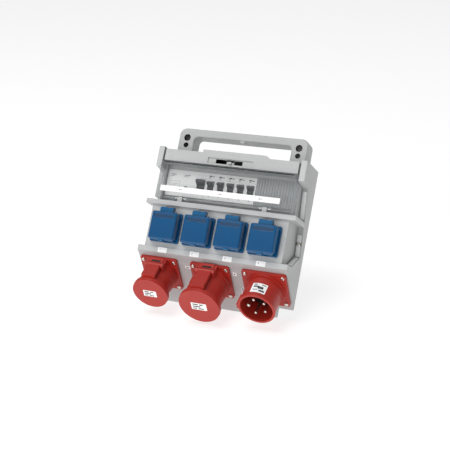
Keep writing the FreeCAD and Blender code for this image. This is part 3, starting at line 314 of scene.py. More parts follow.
# Red polyamide, satin mould: broad soft highlights on the round housings, and edges painted paler as a
# highlight.
RED = MouldedPlastic("polyamide_red_satin", "red", "#B32C21", "#AA281E", 0.42, 0.7, 0.01, edge="#C4453B")
# Near-white polyamide of the switchgear, fine matt grain.
DEVICE = MouldedPlastic("polyamide_white_matt", "device_white", "#FAFBFA", "#F4F5F4", 0.5, 0.5, 0.008)
# Dark grey levers: slightly glossy from use, with edges painted paler as a highlight; the same plastic is
# also painted as shade under the levers.
LEVER_AND_SHADE = MouldedPlastic("polyamide_dark_grey_lever_and_shade", "dark", "#45484B", "#3D4043", 0.38, 0.6, 0.006,
                       edge="#5C5F62")
# Black insulating inserts; also painted shade in the handle's holes and the red sockets' hinge slots.
INSERT_AND_SHADE = MouldedPlastic("polyamide_black_insert_and_shade", "dark", "#1D1716", "#191413", 0.5, 0.6, 0.008)
# Clear moulded polycarbonate: nothing but its edges and sheen shows.
CLEAR = ClearSheet()
# Nickel-plated brass, turned: bright warm-white pins and screw heads.
NICKEL = PlatedMetal("brass_nickel_plated_turned", "nickel", "#D6D3CB", 0.24)
# Zinc-plated steel, drawn: cooler and duller than the nickel.
ZINC = PlatedMetal("steel_zinc_plated_drawn", "steel", "#B9BBBD", 0.34)
# Bare drawn brass of the terminal bars.
BRASS = PlatedMetal("brass_drawn", "brass", "#C49A52", 0.3)
# White vinyl film of every label and plate: matt and even.
FILM = PrintedFilm("vinyl_film_white", "label", "#FFFFFE")
# Dark and pale grey printing ink on films and on the switchgear.
INK = PrintedFilm("printing_ink_grey", "label", "#424547", 0.6)
PALE_INK = PrintedFilm("printing_ink_pale_grey", "label", "#A9ABAC", 0.6)
# Smooth polycarbonate of the side rims' strips and the clip, near-white as a painted highlight where light
# catches them.
PALE_RIM_HIGHLIGHT = MouldedPlastic("polycarbonate_pale_grey_highlight", "housing", "#F0F2F2", "#EAECEC", 0.4, 0.9, 0.006)
# Neoprene of the seals: black, without gloss; also the painted shade line along the window's top.
RUBBER_AND_SHADE = MouldedPlastic("neoprene_black_seal_and_shade", "seal", "#171717", "#121212", 0.75, 0.9, 0.02)


# ------------------------------------------------------------------ mesh helpers

def new_piece(name: str, mesh: bmesh.types.BMesh, finish: Finish, body: str,
              smooth: float = 35.0) -> bpy.types.Object:
    """Turn a bmesh into a dressed piece that rides on a body.

    Args:
        name: the piece's name.
        mesh: its geometry, in the row frame.
        finish: its finish.
        body: the body that it rides on.
        smooth: faces closer than this angle, in degrees, shade as one.

    Returns:
        The piece.
    """
    bmesh.ops.recalc_face_normals(mesh, faces=mesh.faces)
    data = bpy.data.meshes.new(name)
    mesh.to_mesh(data)
    mesh.free()
    piece = bpy.data.objects.new(name, data)
    bpy.context.scene.collection.objects.link(piece)
    data.shade_smooth()
    data.set_sharp_from_angle(angle=math.radians(smooth))
    finish.dress(piece)
    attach(piece, body)
    return piece


def apply_modifiers(piece: bpy.types.Object) -> None:
    """Freeze the piece's modifiers into its mesh."""
    bpy.context.view_layer.update()
    graph = bpy.context.evaluated_depsgraph_get()
    frozen = bpy.data.meshes.new_from_object(piece.evaluated_get(graph))
    piece.modifiers.clear()
    piece.data = frozen


def bevel(piece: bpy.types.Object, width_mm: float, segments: int = 2, angle: float = 32.0) -> None:
    """Round the piece's hard edges and freeze the result."""
    rounding = piece.modifiers.new("rounding", "BEVEL")
    rounding.width = width_mm * MM
    rounding.segments = segments
    rounding.limit_method = "ANGLE"
    rounding.angle_limit = math.radians(angle)
    rounding.use_clamp_overlap = True
    rounding.harden_normals = False
    rounding.miter_outer = "MITER_ARC"
    apply_modifiers(piece)
    piece.data.shade_smooth()
    piece.data.set_sharp_from_angle(angle=math.radians(50.0))
    even = piece.modifiers.new("even_normals", "WEIGHTED_NORMAL")
    even.keep_sharp = True
    even.weight = 60
    apply_modifiers(piece)


def extrude(mesh: bmesh.types.BMesh, near: Sequence[Vector], far: Sequence[Vector]) -> None:
    """Add a closed prism between two outlines with matching points."""
    front = [mesh.verts.new(point) for point in near]
    back = [mesh.verts.new(point) for point in far]
    mesh.faces.new(front)
    mesh.faces.new(list(reversed(back)))
    skirt(mesh, front, back)


def skirt(mesh: bmesh.types.BMesh, first: Sequence[bmesh.types.BMVert], second: Sequence[bmesh.types.BMVert]
          ) -> None:
    """Join two closed loops of as many vertices with a band of faces."""
    for i in range(len(first)):
        after = (i + 1) % len(first)
        mesh.faces.new((first[i], first[after], second[after], second[i]))


def prism(mesh: bmesh.types.BMesh, place: Place, outline: Outline, low: float, high: float) -> None:
    """Add an upright prism: an (X, Z) outline between two values of D, in the place's frame."""
    extrude(mesh, [place.at(u, high, v) for u, v in outline], [place.at(u, low, v) for u, v in outline])


def side_prism(mesh: bmesh.types.BMesh, place: Place, outline: Outline, low: float, high: float) -> None:
    """Add a prism across the part: a (D, Z) outline between two values of X."""
    extrude(mesh, [place.at(low, u, v) for u, v in outline], [place.at(high, u, v) for u, v in outline])


def rounded(low_x: float, high_x: float, low_z: float, high_z: float, radius: float,
            steps: int = 5) -> Outline:
    """Outline of a rectangle with rounded corners."""
    outline = []
    corners = ((high_x - radius, high_z - radius, 0), (low_x + radius, high_z - radius, 90),
               (low_x + radius, low_z + radius, 180), (high_x - radius, low_z + radius, 270))
    for centre_x, centre_z, start in corners:
        for step in range(steps + 1):
            angle = math.radians(start + 90.0 * step / steps)
            outline.append((centre_x + radius * math.cos(angle), centre_z + radius * math.sin(angle)))
    return outline


def turned(mesh: bmesh.types.BMesh, place: Place, centre: tuple[float, float], profile: Outline,
           steps: int = 64) -> None:
    """Add a turned solid about an axis along D: profile points are (radius, D)."""
    loops = []
    for radius, out in profile:
        if radius < 1e-6:
            loops.append([mesh.verts.new(place.at(centre[0], out, centre[1]))])
            continue
        loop = []
        for step in range(steps):
            angle = 2 * math.pi * step / steps
            loop.append(mesh.verts.new(place.at(
                centre[0] + radius * math.cos(angle), out, centre[1] + radius * math.sin(angle))))
        loops.append(loop)
    for first, second in zip(loops, loops[1:]):
        if len(first) == len(second):
            if len(first) > 1:
                skirt(mesh, first, second)
            continue
        for step in range(steps):
            after = (step + 1) % steps
            if len(first) == 1:
                mesh.faces.new((first[0], second[step], second[after]))
            else:
                mesh.faces.new((first[step], first[after], second[0]))


def ring(mesh: bmesh.types.BMesh, place: Place, centre: tuple[float, float], radii: tuple[float, float],
         outs: tuple[float, float], steps: int = 96) -> None:
    """Add a square-edged ring about an axis along D, between two radii and two values of D."""
    (inner, outer), (low, high) = radii, outs
    profile = [(inner, low), (outer, low), (outer, high), (inner, high), (inner, low)]
    turned(mesh, place, centre, profile, steps)


def solid_of(mesh: bmesh.types.BMesh) -> bpy.types.Object:
    """Turn a closed bmesh into a helper object for a boolean."""
    bmesh.ops.remove_doubles(mesh, verts=mesh.verts, dist=1e-6)
    bmesh.ops.recalc_face_normals(mesh, faces=mesh.faces)
    data = bpy.data.meshes.new("helper")
    mesh.to_mesh(data)
    mesh.free()
    helper = bpy.data.objects.new("helper", data)
    bpy.context.scene.collection.objects.link(helper)
    return helper


def refined(node: str, finish: Finish, width_mm: float, body: str, segments: int = 2,
            cutters: Iterable[bpy.types.Object] = (), joiners: Iterable[bpy.types.Object] = ()
            ) -> bpy.types.Object:
    """Make the finished skin of a node: the same solid with its edges rounded.

    Args:
        node: the node that the skin stands for.
        finish: its finish.
        width_mm: the edge rounding.
        body: the body that it rides on.
        segments: facets in each rounding.
        cutters: closed pieces taken out of the skin first; they are deleted.
        joiners: closed pieces added to the skin first; they are deleted.

    Returns:
        The skin.
    """
    mesh = bmesh.new()
    mesh.from_mesh(frame["nodes"][node].data)
    bmesh.ops.remove_doubles(mesh, verts=mesh.verts, dist=1e-6)
    piece = new_piece(f"{node}_skin", mesh, finish, body)
    carve(piece, cutters, joiners)
    if joiners or cutters:
        tidy_faces(piece)
    bevel(piece, width_mm, segments)
    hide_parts(node)
    return piece


def carve(piece: bpy.types.Object, cutters: Iterable[bpy.types.Object],
          joiners: Iterable[bpy.types.Object] = ()) -> None:
    """Add the joiners to the piece, take the cutters out of it, and delete them all."""
    for operation, helpers in (("UNION", joiners), ("DIFFERENCE", cutters)):
        for helper in helpers:
            change = piece.modifiers.new("change", "BOOLEAN")
            change.operation = operation
            change.solver = "EXACT"
            change.object = helper
            apply_modifiers(piece)
            bpy.data.objects.remove(helper)


def cutter(place: Place, outline: Outline, low: float, high: float) -> bpy.types.Object:
    """Closed prism used to cut a recess."""
    mesh = bmesh.new()
    prism(mesh, place, outline, low, high)
    return solid_of(mesh)


def tidy_faces(piece: bpy.types.Object) -> None:
    """Weld the seams that a boolean left and split its many-sided faces."""
    mesh = bmesh.new()
    mesh.from_mesh(piece.data)
    bmesh.ops.triangulate(mesh, faces=mesh.faces)
    bmesh.ops.remove_doubles(mesh, verts=mesh.verts, dist=2e-6)
    bmesh.ops.dissolve_degenerate(mesh, edges=mesh.edges, dist=1e-6)
    mesh.to_mesh(piece.data)
    mesh.free()


def block(low_x: float, high_x: float, low_z: float, high_z: float) -> Outline:
    """Outline of a plain rectangle."""
    return [(low_x, low_z), (high_x, low_z), (high_x, high_z), (low_x, high_z)]


def keep(node: str, finish: Finish) -> None:
    """Keep a node's own shape and give it a finish."""
    thing = frame["nodes"][node]
    finish.dress(thing)
    thing.data.shade_smooth()
    thing.data.set_sharp_from_angle(angle=math.radians(35.0))


# ------------------------------------------------------------------ print and fasteners

PRINT_RISE = 0.05
FILM_THICK = 0.4


def mark(mesh: bmesh.types.BMesh, place: Place, bars: Iterable[Bar], face: float,
         rise: float = PRINT_RISE) -> None:
    """Add thin bars, each (low X, high X, low Z, high Z), standing on a face at D."""
    for low_x, high_x, low_z, high_z in bars:
        prism(mesh, place, block(low_x, high_x, low_z, high_z), face, face + rise)


def shifted(bars: Iterable[Bar], along_x: float, up: float) -> list[Bar]:
    """The same bars, moved along X and Z."""
    return [(low_x + along_x, high_x + along_x, low_z + up, high_z + up)
            for low_x, high_x, low_z, high_z in bars]


DIGIT_STROKES = {
    "1": ((0.45, 0.65, 0.0, 1.0),),
    "2": ((0.0, 1.0, 0.86, 1.0), (0.84, 1.0, 0.5, 1.0), (0.0, 1.0, 0.43, 0.57), (0.0, 0.16, 0.0, 0.5),
          (0.0, 1.0, 0.0, 0.14)),
    "3": ((0.0, 1.0, 0.86, 1.0), (0.84, 1.0, 0.0, 1.0), (0.1, 1.0, 0.43, 0.57), (0.0, 1.0, 0.0, 0.14)),
    "4": ((0.0, 0.16, 0.45, 1.0), (0.0, 1.0, 0.36, 0.5), (0.7, 0.86, 0.0, 1.0)),
}


def digit_bars(digit: str, centre: tuple[float, float], size: tuple[float, float]) -> list[Bar]:
    """Bars of a plain stroke digit.

    Args:
        digit: "1" to "4".
        centre: (X, Z) of its middle, in mm.
        size: its width and height.

    Returns:
        Its bars.
    """
    wide, tall = size
    left, low = centre[0] - wide / 2, centre[1] - tall / 2
    return [(left + a * wide, left + b * wide, low + c * tall, low + d * tall)
            for a, b, c, d in DIGIT_STROKES[digit]]


@dataclass(frozen=True)
class PanScrew:
    """Pan-head screw with a round drive recess; sizes in mm."""

    head: float
    tall: float
    shank: float
    deep: float = 8.0
    drive: float = 0.62
    drive_deep: float = 0.9

    def add(self, mesh: bmesh.types.BMesh, place: Place, centre: tuple[float, float], face: float) -> None:
        """Add the screw at (X, Z) with its head on a face at D."""
        top = face + self.tall
        profile = [(0.0, face - self.deep), (self.shank, face - self.deep), (self.shank, face),
                   (self.head, face), (self.head, face + self.tall * 0.45),
                   (self.head * 0.92, face + self.tall * 0.72),
                   (self.head * 0.72, face + self.tall * 0.93), (self.head * 0.5, top), (self.drive, top),
                   (self.drive, top - self.drive_deep), (0.0, top - self.drive_deep - 0.1)]
        turned(mesh, place, centre, profile, 40)


# ------------------------------------------------------------------ sub-assemblies

@dataclass
class Enclosure:
    """The grey two-part box with its handle, cover screws, number plates, seal and stand."""

    edge_round: float = 0.7
    hood_d: float = 36.7
    hood_low: float = 224.2
    hood_top: float = 243.7
    hood_mark_x: float = 104.0
    slot_spans: tuple[tuple[float, float], ...] = ((-26.0, -6.9), (6.9, 21.0))
    slot_rise: tuple[float, float] = (3.2, 10.4)
    slot_deep: float = 4.5
    rail_d: float = 42.0
    rail_z: tuple[float, float] = (67.1, 75.9)
    plate_x: tuple[float, ...] = (-85.65, -28.55, 28.55, 85.65)
    plate_half: tuple[float, float] = (8.0, 4.3)
    digit_size: tuple[float, float] = (1.7, 3.0)
    handle_sink: float = 1.5
    grip_low: float = 278.3
    lug_d: tuple[float, float] = (-9.0, -1.2)
    hole_x: float = 100.0
    holes: tuple[tuple[float, float], ...] = ((LARGE_HOLE_Z, 6.0), (262.5, 4.5))
    # depth span and wall of the dark sleeves that paint the shade inside the handle's holes
    liner_d: tuple[float, float] = (-29.3, -0.7)
    liner_thick: float = 0.35
    screw: PanScrew = PanScrew(3.4, 2.4, 1.8)
    screw_z: float = 120.0
    screw_in: float = 3.4
    washer: tuple[float, float] = (3.45, 4.7)
    rim_ends: tuple[tuple[float, float], ...] = ((-18.0, 98.0), (4.0, 208.0))
    strip_x: tuple[float, float] = (121.2, 127.8)
    strip_thick: float = 2.4
    strip_spans: tuple[tuple[float, float], ...] = ((159.0, 203.5), (99.5, 134.0))
    strip_foot: tuple[tuple[float, float], ...] = ((-14.5, 96.0), (-13.2, 97.6), (15.0, 80.4), (13.7, 78.8))

    def build(self) -> None:
        """Build and dress every piece of the enclosure."""
        self.shell()
        self.cover()
        self.hood_marks()
        self.catch()
        self.plates()
        self.cover_screws()
        self.rim_strips()
        self.hole_liners()
        keep("cover_seal", RUBBER_AND_SHADE)
        keep("stand_bail", ZINC)

    def shell(self) -> None:
        """Rear shell and carrying handle as one moulding, with the grip's lug."""
        to_box = BOX.matrix.inverted()
        mesh = bmesh.new()
        mesh.from_mesh(frame["nodes"]["carry_handle"].data)
        lowest = min((to_box @ vert.co).z for vert in mesh.verts)
        for vert in mesh.verts:
            local = to_box @ vert.co
            if local.z < lowest + 0.01 * MM:
                vert.co = BOX.matrix @ (local - Vector((0.0, 0.0, self.handle_sink * MM)))
        joined = solid_of(mesh)
        shell = refined("rear_shell", HOUSING, self.edge_round, "box", joiners=[joined, self.grip_lug()])
        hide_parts("carry_handle")

    def grip_lug(self) -> bpy.types.Object:
        """Small pointed lug under the middle of the grip bar."""
        half = [(7.0, 1.0), (4.2, -0.6), (2.0, -3.4)]
        outline = [(-u, self.grip_low + v) for u, v in half]
        outline += [(u, self.grip_low + v) for u, v in reversed(half)]
        mesh = bmesh.new()
        prism(mesh, BOX, outline, *self.lug_d)
        return solid_of(mesh)

    def cover(self) -> None:
        """Front cover with the dark slots beside the window catch."""
        bottom, top = (self.hood_low + rise for rise in self.slot_rise)
        slots = [cutter(BOX, block(low, high, bottom, top), self.hood_d - self.slot_deep, self.hood_d + 1.0)
                 for low, high in self.slot_spans]
        refined("front_cover", HOUSING, self.edge_round, "box", cutters=slots)

    def hood_marks(self) -> None:
        """Raised tab outline above the catch and small corner marks on the hood."""
        mesh = bmesh.new()
        top, low = self.hood_top, self.hood_low
        mark(mesh, BOX, [(-3.5, 10.5, top + 1.3, top + 2.6), (9.2, 10.5, top - 4.6, top + 1.3)],
             self.hood_d, 0.5)
        near, wide, thick = self.hood_mark_x, 5.0, 1.2
        for left, upright in ((near, near), (-near - wide, -near - thick)):
            mark(mesh, BOX, [(left, left + wide, low + 6.0, low + 6.0 + thick),
                             (upright, upright + thick, low + 6.0 + thick, low + 12.0)], self.hood_d, 0.4)
        new_piece("hood_raised_marks", mesh, HOUSING, "box")

    def catch(self) -> None:
        """Window catch: a slide behind the slot, its stem and a narrow thumb bar."""
        mesh = bmesh.new()
        low = self.hood_low + 3.0
        for half, bottom, top, back, front in ((6.0, 0.0, 3.8, -3.8, -1.6), (2.6, 0.0, 3.8, -1.7, 3.6),
                                               (3.4, 0.4, 2.4, 3.5, 4.5)):
            prism(mesh, BOX, block(-half, half, low + bottom, low + top),
                  self.hood_d + back, self.hood_d + front)
        catch = new_piece("window_catch_slide", mesh, HOUSING, "window_catch")
        bevel(catch, 0.35)
        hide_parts("window_catch")

    def plates(self) -> None:
        """White number plates under the household sockets, each with a small plain digit."""
        films, digits = bmesh.new(), bmesh.new()
        half_x, half_z = self.plate_half
        mid = sum(self.rail_z) / 2
        for number, centre in enumerate(self.plate_x, start=1):
            prism(films, BOX, rounded(centre - half_x, centre + half_x, mid - half_z, mid + half_z, 0.8),
                  self.rail_d, self.rail_d + FILM_THICK)
            mark(digits, BOX, digit_bars(str(number), (centre - half_x / 2, mid + 0.4), self.digit_size),
                 self.rail_d + FILM_THICK)
        plates = new_piece("number_plate_films", films, FILM, "box")
        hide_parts("number_plates")
        new_piece("number_plate_digits", digits, INK, "box")

    def cover_screws(self) -> None:
        """The two cover screws in the side pockets, each on a dark washer."""
        screws, washers = bmesh.new(), bmesh.new()
        face = self.rim_d(self.screw_z) + 0.75
        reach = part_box("cover_screws")[1].x / MM - self.screw_in
        for along_x in (-reach, reach):
            self.screw.add(screws, BOX, (along_x, self.screw_z), face)
            ring(washers, BOX, (along_x, self.screw_z), self.washer, (face - 0.5, face + 0.25), 40)
        heads = new_piece("cover_screw_heads", screws, NICKEL, "box")
        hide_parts("cover_screws")
        new_piece("cover_screw_rings", washers, INSERT_AND_SHADE, "box")

    def rim_strips(self) -> None:
        """Raised strips along the side rims, near-white as a painted highlight."""
        mesh = bmesh.new()
        low_x, high_x = self.strip_x
        runs = [self.strip_foot]
        for low_z, high_z in self.strip_spans:
            low_d, high_d = self.rim_d(low_z) - 0.45, self.rim_d(high_z) - 0.45
            runs.append(((low_d, low_z), (low_d + self.strip_thick, low_z),
                         (high_d + self.strip_thick, high_z), (high_d, high_z)))
        for outline in runs:
            side_prism(mesh, BOX, outline, -high_x, -low_x)
            side_prism(mesh, BOX, outline, low_x, high_x)
        strips = new_piece("side_rim_strips", mesh, PALE_RIM_HIGHLIGHT, "box")
        bevel(strips, 0.4)

    def hole_liners(self) -> None:
        """Thin dark sleeves in the four holes of the handle: painted shade on the holes' walls."""
        mesh = bmesh.new()
        for along_x in (-self.hole_x, self.hole_x):
            for height, radius in self.holes:
                radii = (radius - self.liner_thick, radius + 0.05)
                ring(mesh, BOX, (along_x, height), radii, self.liner_d, 48)
        new_piece("handle_hole_shade_sleeves", mesh, INSERT_AND_SHADE, "box")

    def rim_d(self, height: float) -> float:
        """D of the sloping side rim at a height."""
        (low_d, low_z), (high_d, high_z) = self.rim_ends
        return low_d + (height - low_z) / (high_z - low_z) * (high_d - low_d)


@dataclass
class BreakerWindow:
    """The clear hinged lid over the breakers, with its writing strip and rims."""

    edge_round: float = 0.9
    low: float = 157.5
    top: float = 221.5
    front: float = 42.0
    # half width of the dark line painted as the hood's shade along the window's top
    seal_half: float = 113.0
    strip: Bar = (-111.5, 98.0, 170.3, 179.7)
    strip_mark_x: tuple[float, ...] = (-78.0, -7.0, 62.0)
    rim_mark_x: tuple[float, ...] = (-22.0, 26.0)

    def build(self) -> None:
        """Build and dress the lid, its strip, marks, a painted shade line along its top and the hinge pins.
        """
        refined("window_lid", CLEAR, self.edge_round, "window_lid", 3)
        mesh = bmesh.new()
        prism(mesh, BOX, rounded(*self.strip, 0.6), self.front, self.front + FILM_THICK)
        label = new_piece("writing_strip", mesh, FILM, "window_lid")
        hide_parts("window_label")
        mid = (self.strip[2] + self.strip[3]) / 2
        mesh = bmesh.new()
        for along_x in self.strip_mark_x:
            mark(mesh, BOX, shifted([(0.0, 3.2, -0.7, 0.5), (4.0, 5.2, -0.7, 0.5)], along_x, mid),
                 self.front + FILM_THICK)
        new_piece("writing_strip_marks", mesh, INK, "window_lid")
        mesh = bmesh.new()
        for along_x in self.rim_mark_x:
            mark(mesh, BOX, [(along_x, along_x + 6.0, self.low + 4.6, self.low + 5.4)], self.front, 0.15)
        new_piece("window_rim_marks", mesh, PALE_INK, "window_lid")
        # painted shade: a dark line along the lid's top where the hood shades the window
        mesh = bmesh.new()
        mark(mesh, BOX, [(-self.seal_half, self.seal_half, self.top - 2.0, self.top - 0.6)], self.front, 0.2)
        new_piece("window_top_shade_line", mesh, RUBBER_AND_SHADE, "window_lid")
        keep("window_hinge_pins", ZINC)


@dataclass
class SwitchRow:
    """The leakage switch, five breakers, blanking strip and the rail that they sit on.

    Marks are bars from each device's left edge and the row's middle height.
    """

    module: float = 17.7
    row_left: float = -115.05
    leakage_modules: int = 4
    breakers: int = 5
    centre_z: float = 192.0
    nose_d: float = 14.0
    nose_half: float = 22.5
    strip_d: float = 12.0
    ribs: int = 15
    print_rise: float = 0.12
    body_round: float = 0.5
    lever_round: float = 0.6
    leakage_dark: tuple[Bar, ...] = (
        (6.0, 15.0, 14.0, 15.0), (6.0, 12.0, 11.6, 12.3), (30.0, 41.0, 14.0, 14.8), (30.0, 38.0, 11.6, 12.2),
        (33.5, 39.5, -14.6, -14.0))
    leakage_pale: tuple[Bar, ...] = (
        (6.0, 24.0, 3.0, 3.4), (6.0, 24.0, -12.4, -12.0), (6.0, 6.4, -12.4, 3.4), (23.6, 24.0, -12.4, 3.4),
        (9.0, 20.0, -1.4, -0.9), (9.0, 17.0, -4.0, -3.5), (9.0, 20.0, -6.8, -6.3))
    breaker_dark: tuple[Bar, ...] = (
        (4.0, 9.0, 16.4, 18.4), (10.2, 13.4, 16.4, 17.6), (4.0, 7.0, 14.2, 15.2), (7.9, 9.7, -17.6, -16.8))
    breaker_pale: tuple[Bar, ...] = ((1.2, 16.5, 12.2, 12.5), (1.2, 16.5, -13.0, -12.7))

    def edge(self, number: int) -> float:
        """X of the left edge of a breaker, counted from 0; -1 is the leakage switch's last module."""
        return self.row_left + self.module * (self.leakage_modules + number)

    def build(self) -> None:
        """Build and dress the whole row."""
        refined("leakage_switch_body", DEVICE, self.body_round, "box")
        refined("leakage_switch_lever", LEVER_AND_SHADE, self.lever_round, "leakage_lever", 3)
        refined("test_button", LEVER_AND_SHADE, 0.4, "test_button")
        for number in range(1, self.breakers + 1):
            refined(f"breaker_body_{number}", DEVICE, self.body_round, "box")
            refined(f"breaker_lever_{number}", LEVER_AND_SHADE, self.lever_round, f"breaker_lever_{number}", 3)
        self.lever_shade_bands()
        self.device_print()
        self.ribbed_strip()
        keep("device_rail", ZINC)
        keep("terminal_carrier", DEVICE)
        keep("terminal_bars", BRASS)

    def lever_shade_bands(self) -> None:
        """Dark bands under the levers, one on each device: painted shade below each lever."""
        mesh = bmesh.new()
        low, high = self.centre_z - 13.6, self.centre_z - 9.6
        for number in range(-1, self.breakers):
            start = self.edge(number) + (0.3 if number >= 0 else 2.3)
            prism(mesh, BOX, block(start, self.edge(number) + self.module - 0.3, low, high),
                  self.nose_d, self.nose_d + 0.35)
        # painted shade under the levers, in the levers' dark plastic
        new_piece("lever_shade_bands", mesh, LEVER_AND_SHADE, "box")

    def device_print(self) -> None:
        """Small plain marks on the faces: lines, squares and dashes in grey ink."""
        prints = (("device_print_dark", INK, self.leakage_dark, self.breaker_dark),
                  ("device_print_pale", PALE_INK, self.leakage_pale, self.breaker_pale))
        for name, finish, leakage_bars, breaker_bars in prints:
            mesh = bmesh.new()
            mark(mesh, BOX, shifted(leakage_bars, self.row_left, self.centre_z), self.nose_d, self.print_rise)
            for number in range(self.breakers):
                mark(mesh, BOX, shifted(breaker_bars, self.edge(number), self.centre_z), self.nose_d,
                     self.print_rise)
            new_piece(name, mesh, finish, "box")

    def ribbed_strip(self) -> None:
        """Blanking strip with upright ribs at a pitch of about 5 mm and a back plate."""
        left, right = self.edge(self.breakers) + 0.2, self.module * 6.5 + 0.4
        low, high = self.centre_z - self.nose_half - 2, self.centre_z + self.nose_half + 2
        mesh = bmesh.new()
        prism(mesh, BOX, block(left, right, low, high), self.strip_d, self.strip_d + 1.0)
        pitch = (right - left) / self.ribs
        for number in range(self.ribs):
            start = left + number * pitch
            prism(mesh, BOX, block(start + 0.35, start + pitch - 0.55, low + 1.2, high - 1.2),
                  self.strip_d + 0.9, self.strip_d + 2.0)
        strip = new_piece("blanking_strip_ribs", mesh, STRIP, "box")
        bevel(strip, 0.3)
        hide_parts("blanking_strip")


@dataclass
class HouseholdSocket:
    """One blue household socket: base, contact insert, sprung lid and its torsion spring."""

    number: int
    along_x: float
    middle_z: float = 109.0
    hinge_d: float = 50.0
    hinge_z: float = 138.0
    knuckle: float = 4.0
    knuckle_in: float = 5.4
    neck_half: float = 11.5
    neck_d: tuple[float, float] = (54.6, 56.6)
    lid_d: float = 62.0
    lid_back: float = 54.0
    lid_half: tuple[float, float] = (22.15, 23.1)
    lid_corner: float = 3.0
    lid_chamfer: float = 1.6
    recess_half: float = 17.5
    recess_drop: tuple[float, float] = (11.0, 4.0)
    recess_deep: float = 0.8
    skirt_d: float = 45.6
    skirt_thick: tuple[float, float] = (1.2, 2.2)
    tab: tuple[float, float] = (4.5, 2.5)

    def build(self) -> None:
        """Build and dress the socket."""
        refined(f"socket_base_{self.number}", BLUE, 0.6, "box")
        keep(f"socket_insert_{self.number}", BLUE_INNER)
        self.lid_plate()
        self.lid_fittings()
        self.lid_inlay()

    def body(self) -> str:
        """Name of the body that the lid's pieces ride on."""
        return f"household_lid_{self.number}"

    def lid_edges(self, inset: float = 0.0) -> Bar:
        """Left, right, lower and upper edge of the lid's plate, or of a smaller one inside it."""
        half_x, half_z = self.lid_half
        return (self.along_x - half_x + inset, self.along_x + half_x - inset,
                self.middle_z - half_z + inset, self.middle_z + half_z - inset)

    def recess(self, inset: float, corner: float) -> Outline:
        """Outline of the label recess near the lid's top."""
        top = self.lid_edges()[3]
        bottom_drop, top_drop = self.recess_drop
        return rounded(self.along_x - self.recess_half + inset, self.along_x + self.recess_half - inset,
                       top - bottom_drop + inset, top - top_drop - inset, corner)

    def lid_plate(self) -> None:
        """Chamfered plate of the sprung lid, with its label recess."""
        mesh = bmesh.new()
        loops = [[mesh.verts.new(BOX.at(u, out, v)) for u, v in
                  rounded(*self.lid_edges(inset), self.lid_corner - inset / 2)]
                 for out, inset in ((self.lid_back, 0.0), (self.lid_d - self.lid_chamfer, 0.0),
                                    (self.lid_d, self.lid_chamfer))]
        mesh.faces.new(loops[0])
        mesh.faces.new(list(reversed(loops[-1])))
        for first, second in zip(loops, loops[1:]):
            skirt(mesh, first, second)
        plate = new_piece(f"socket_lid_{self.number}_skin", mesh, BLUE, self.body())
        carve(plate, [cutter(BOX, self.recess(0.0, 0.8), self.lid_d - self.recess_deep, self.lid_d + 1.0)])
        bevel(plate, 0.45, 3, 25.0)
        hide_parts(f"socket_lid_{self.number}")

    def lid_fittings(self) -> None:
        """Skirt, finger tab, neck and two hinge knuckles of the lid."""
        mesh = bmesh.new()
        left, right, low, high = self.lid_edges()
        side, under = self.skirt_thick
        corner, skirt_end = self.lid_corner, self.lid_back + 0.5
        for start in (left, right - side):
            prism(mesh, BOX, block(start, start + side, low + corner, high - corner), self.skirt_d, skirt_end)
        prism(mesh, BOX, block(left + corner, right - corner, low, low + under), self.skirt_d, skirt_end)
        tab_half, tab_drop = self.tab
        prism(mesh, BOX, block(self.along_x - tab_half, self.along_x + tab_half, low - tab_drop, low + 1.0),
              self.lid_back + 1.0, self.lid_d - self.lid_chamfer)
        top = self.hinge_z + 2.0
        outline = [(self.hinge_d + self.knuckle * math.cos(turn),
                    self.hinge_z + self.knuckle * math.sin(turn))
                   for turn in map(math.radians, range(60, 271, 15))]
        outline += [(self.hinge_d + 5.0, self.hinge_z - self.knuckle), (self.hinge_d + 5.0, top),
                    (self.hinge_d + 2.0, top)]
        for start, end in ((-self.neck_half, -self.knuckle_in), (self.knuckle_in, self.neck_half)):
            side_prism(mesh, BOX, outline, self.along_x + start, self.along_x + end)
        prism(mesh, BOX, block(self.along_x - self.neck_half, self.along_x + self.neck_half, high - 2.0, top),
              *self.neck_d)
        fittings = new_piece(f"socket_lid_{self.number}_fittings", mesh, BLUE, self.body())
        bevel(fittings, 0.35)

    def lid_inlay(self) -> None:
        """Thin darker sheet on the floor of the label recess: painted shade in the recess."""
        mesh = bmesh.new()
        floor = self.lid_d - self.recess_deep
        prism(mesh, BOX, self.recess(0.5, 0.5), floor, floor + 0.1)
        new_piece(f"socket_lid_{self.number}_recess_shade", mesh, BLUE_INNER, self.body())

    def spring_points(self, turns: int = 5, steps: int = 20, radius: float = 2.35, long: float = 5.2
                      ) -> list[Vector]:
        """Centre line of the torsion spring round the hinge axis.

        Args:
            turns: number of coils.
            steps: points in each coil.
            radius: radius of the coils.
            long: length along X.

        Returns:
            Its points in metres.
        """
        start = self.along_x - 0.4
        points = []
        for step in range(turns * steps + 1):
            angle = 2 * math.pi * step / steps
            share = step / (turns * steps)
            points.append(BOX.at(start + long * share, self.hinge_d + radius * math.sin(angle),
                                 self.hinge_z + radius * math.cos(angle)))
        return points


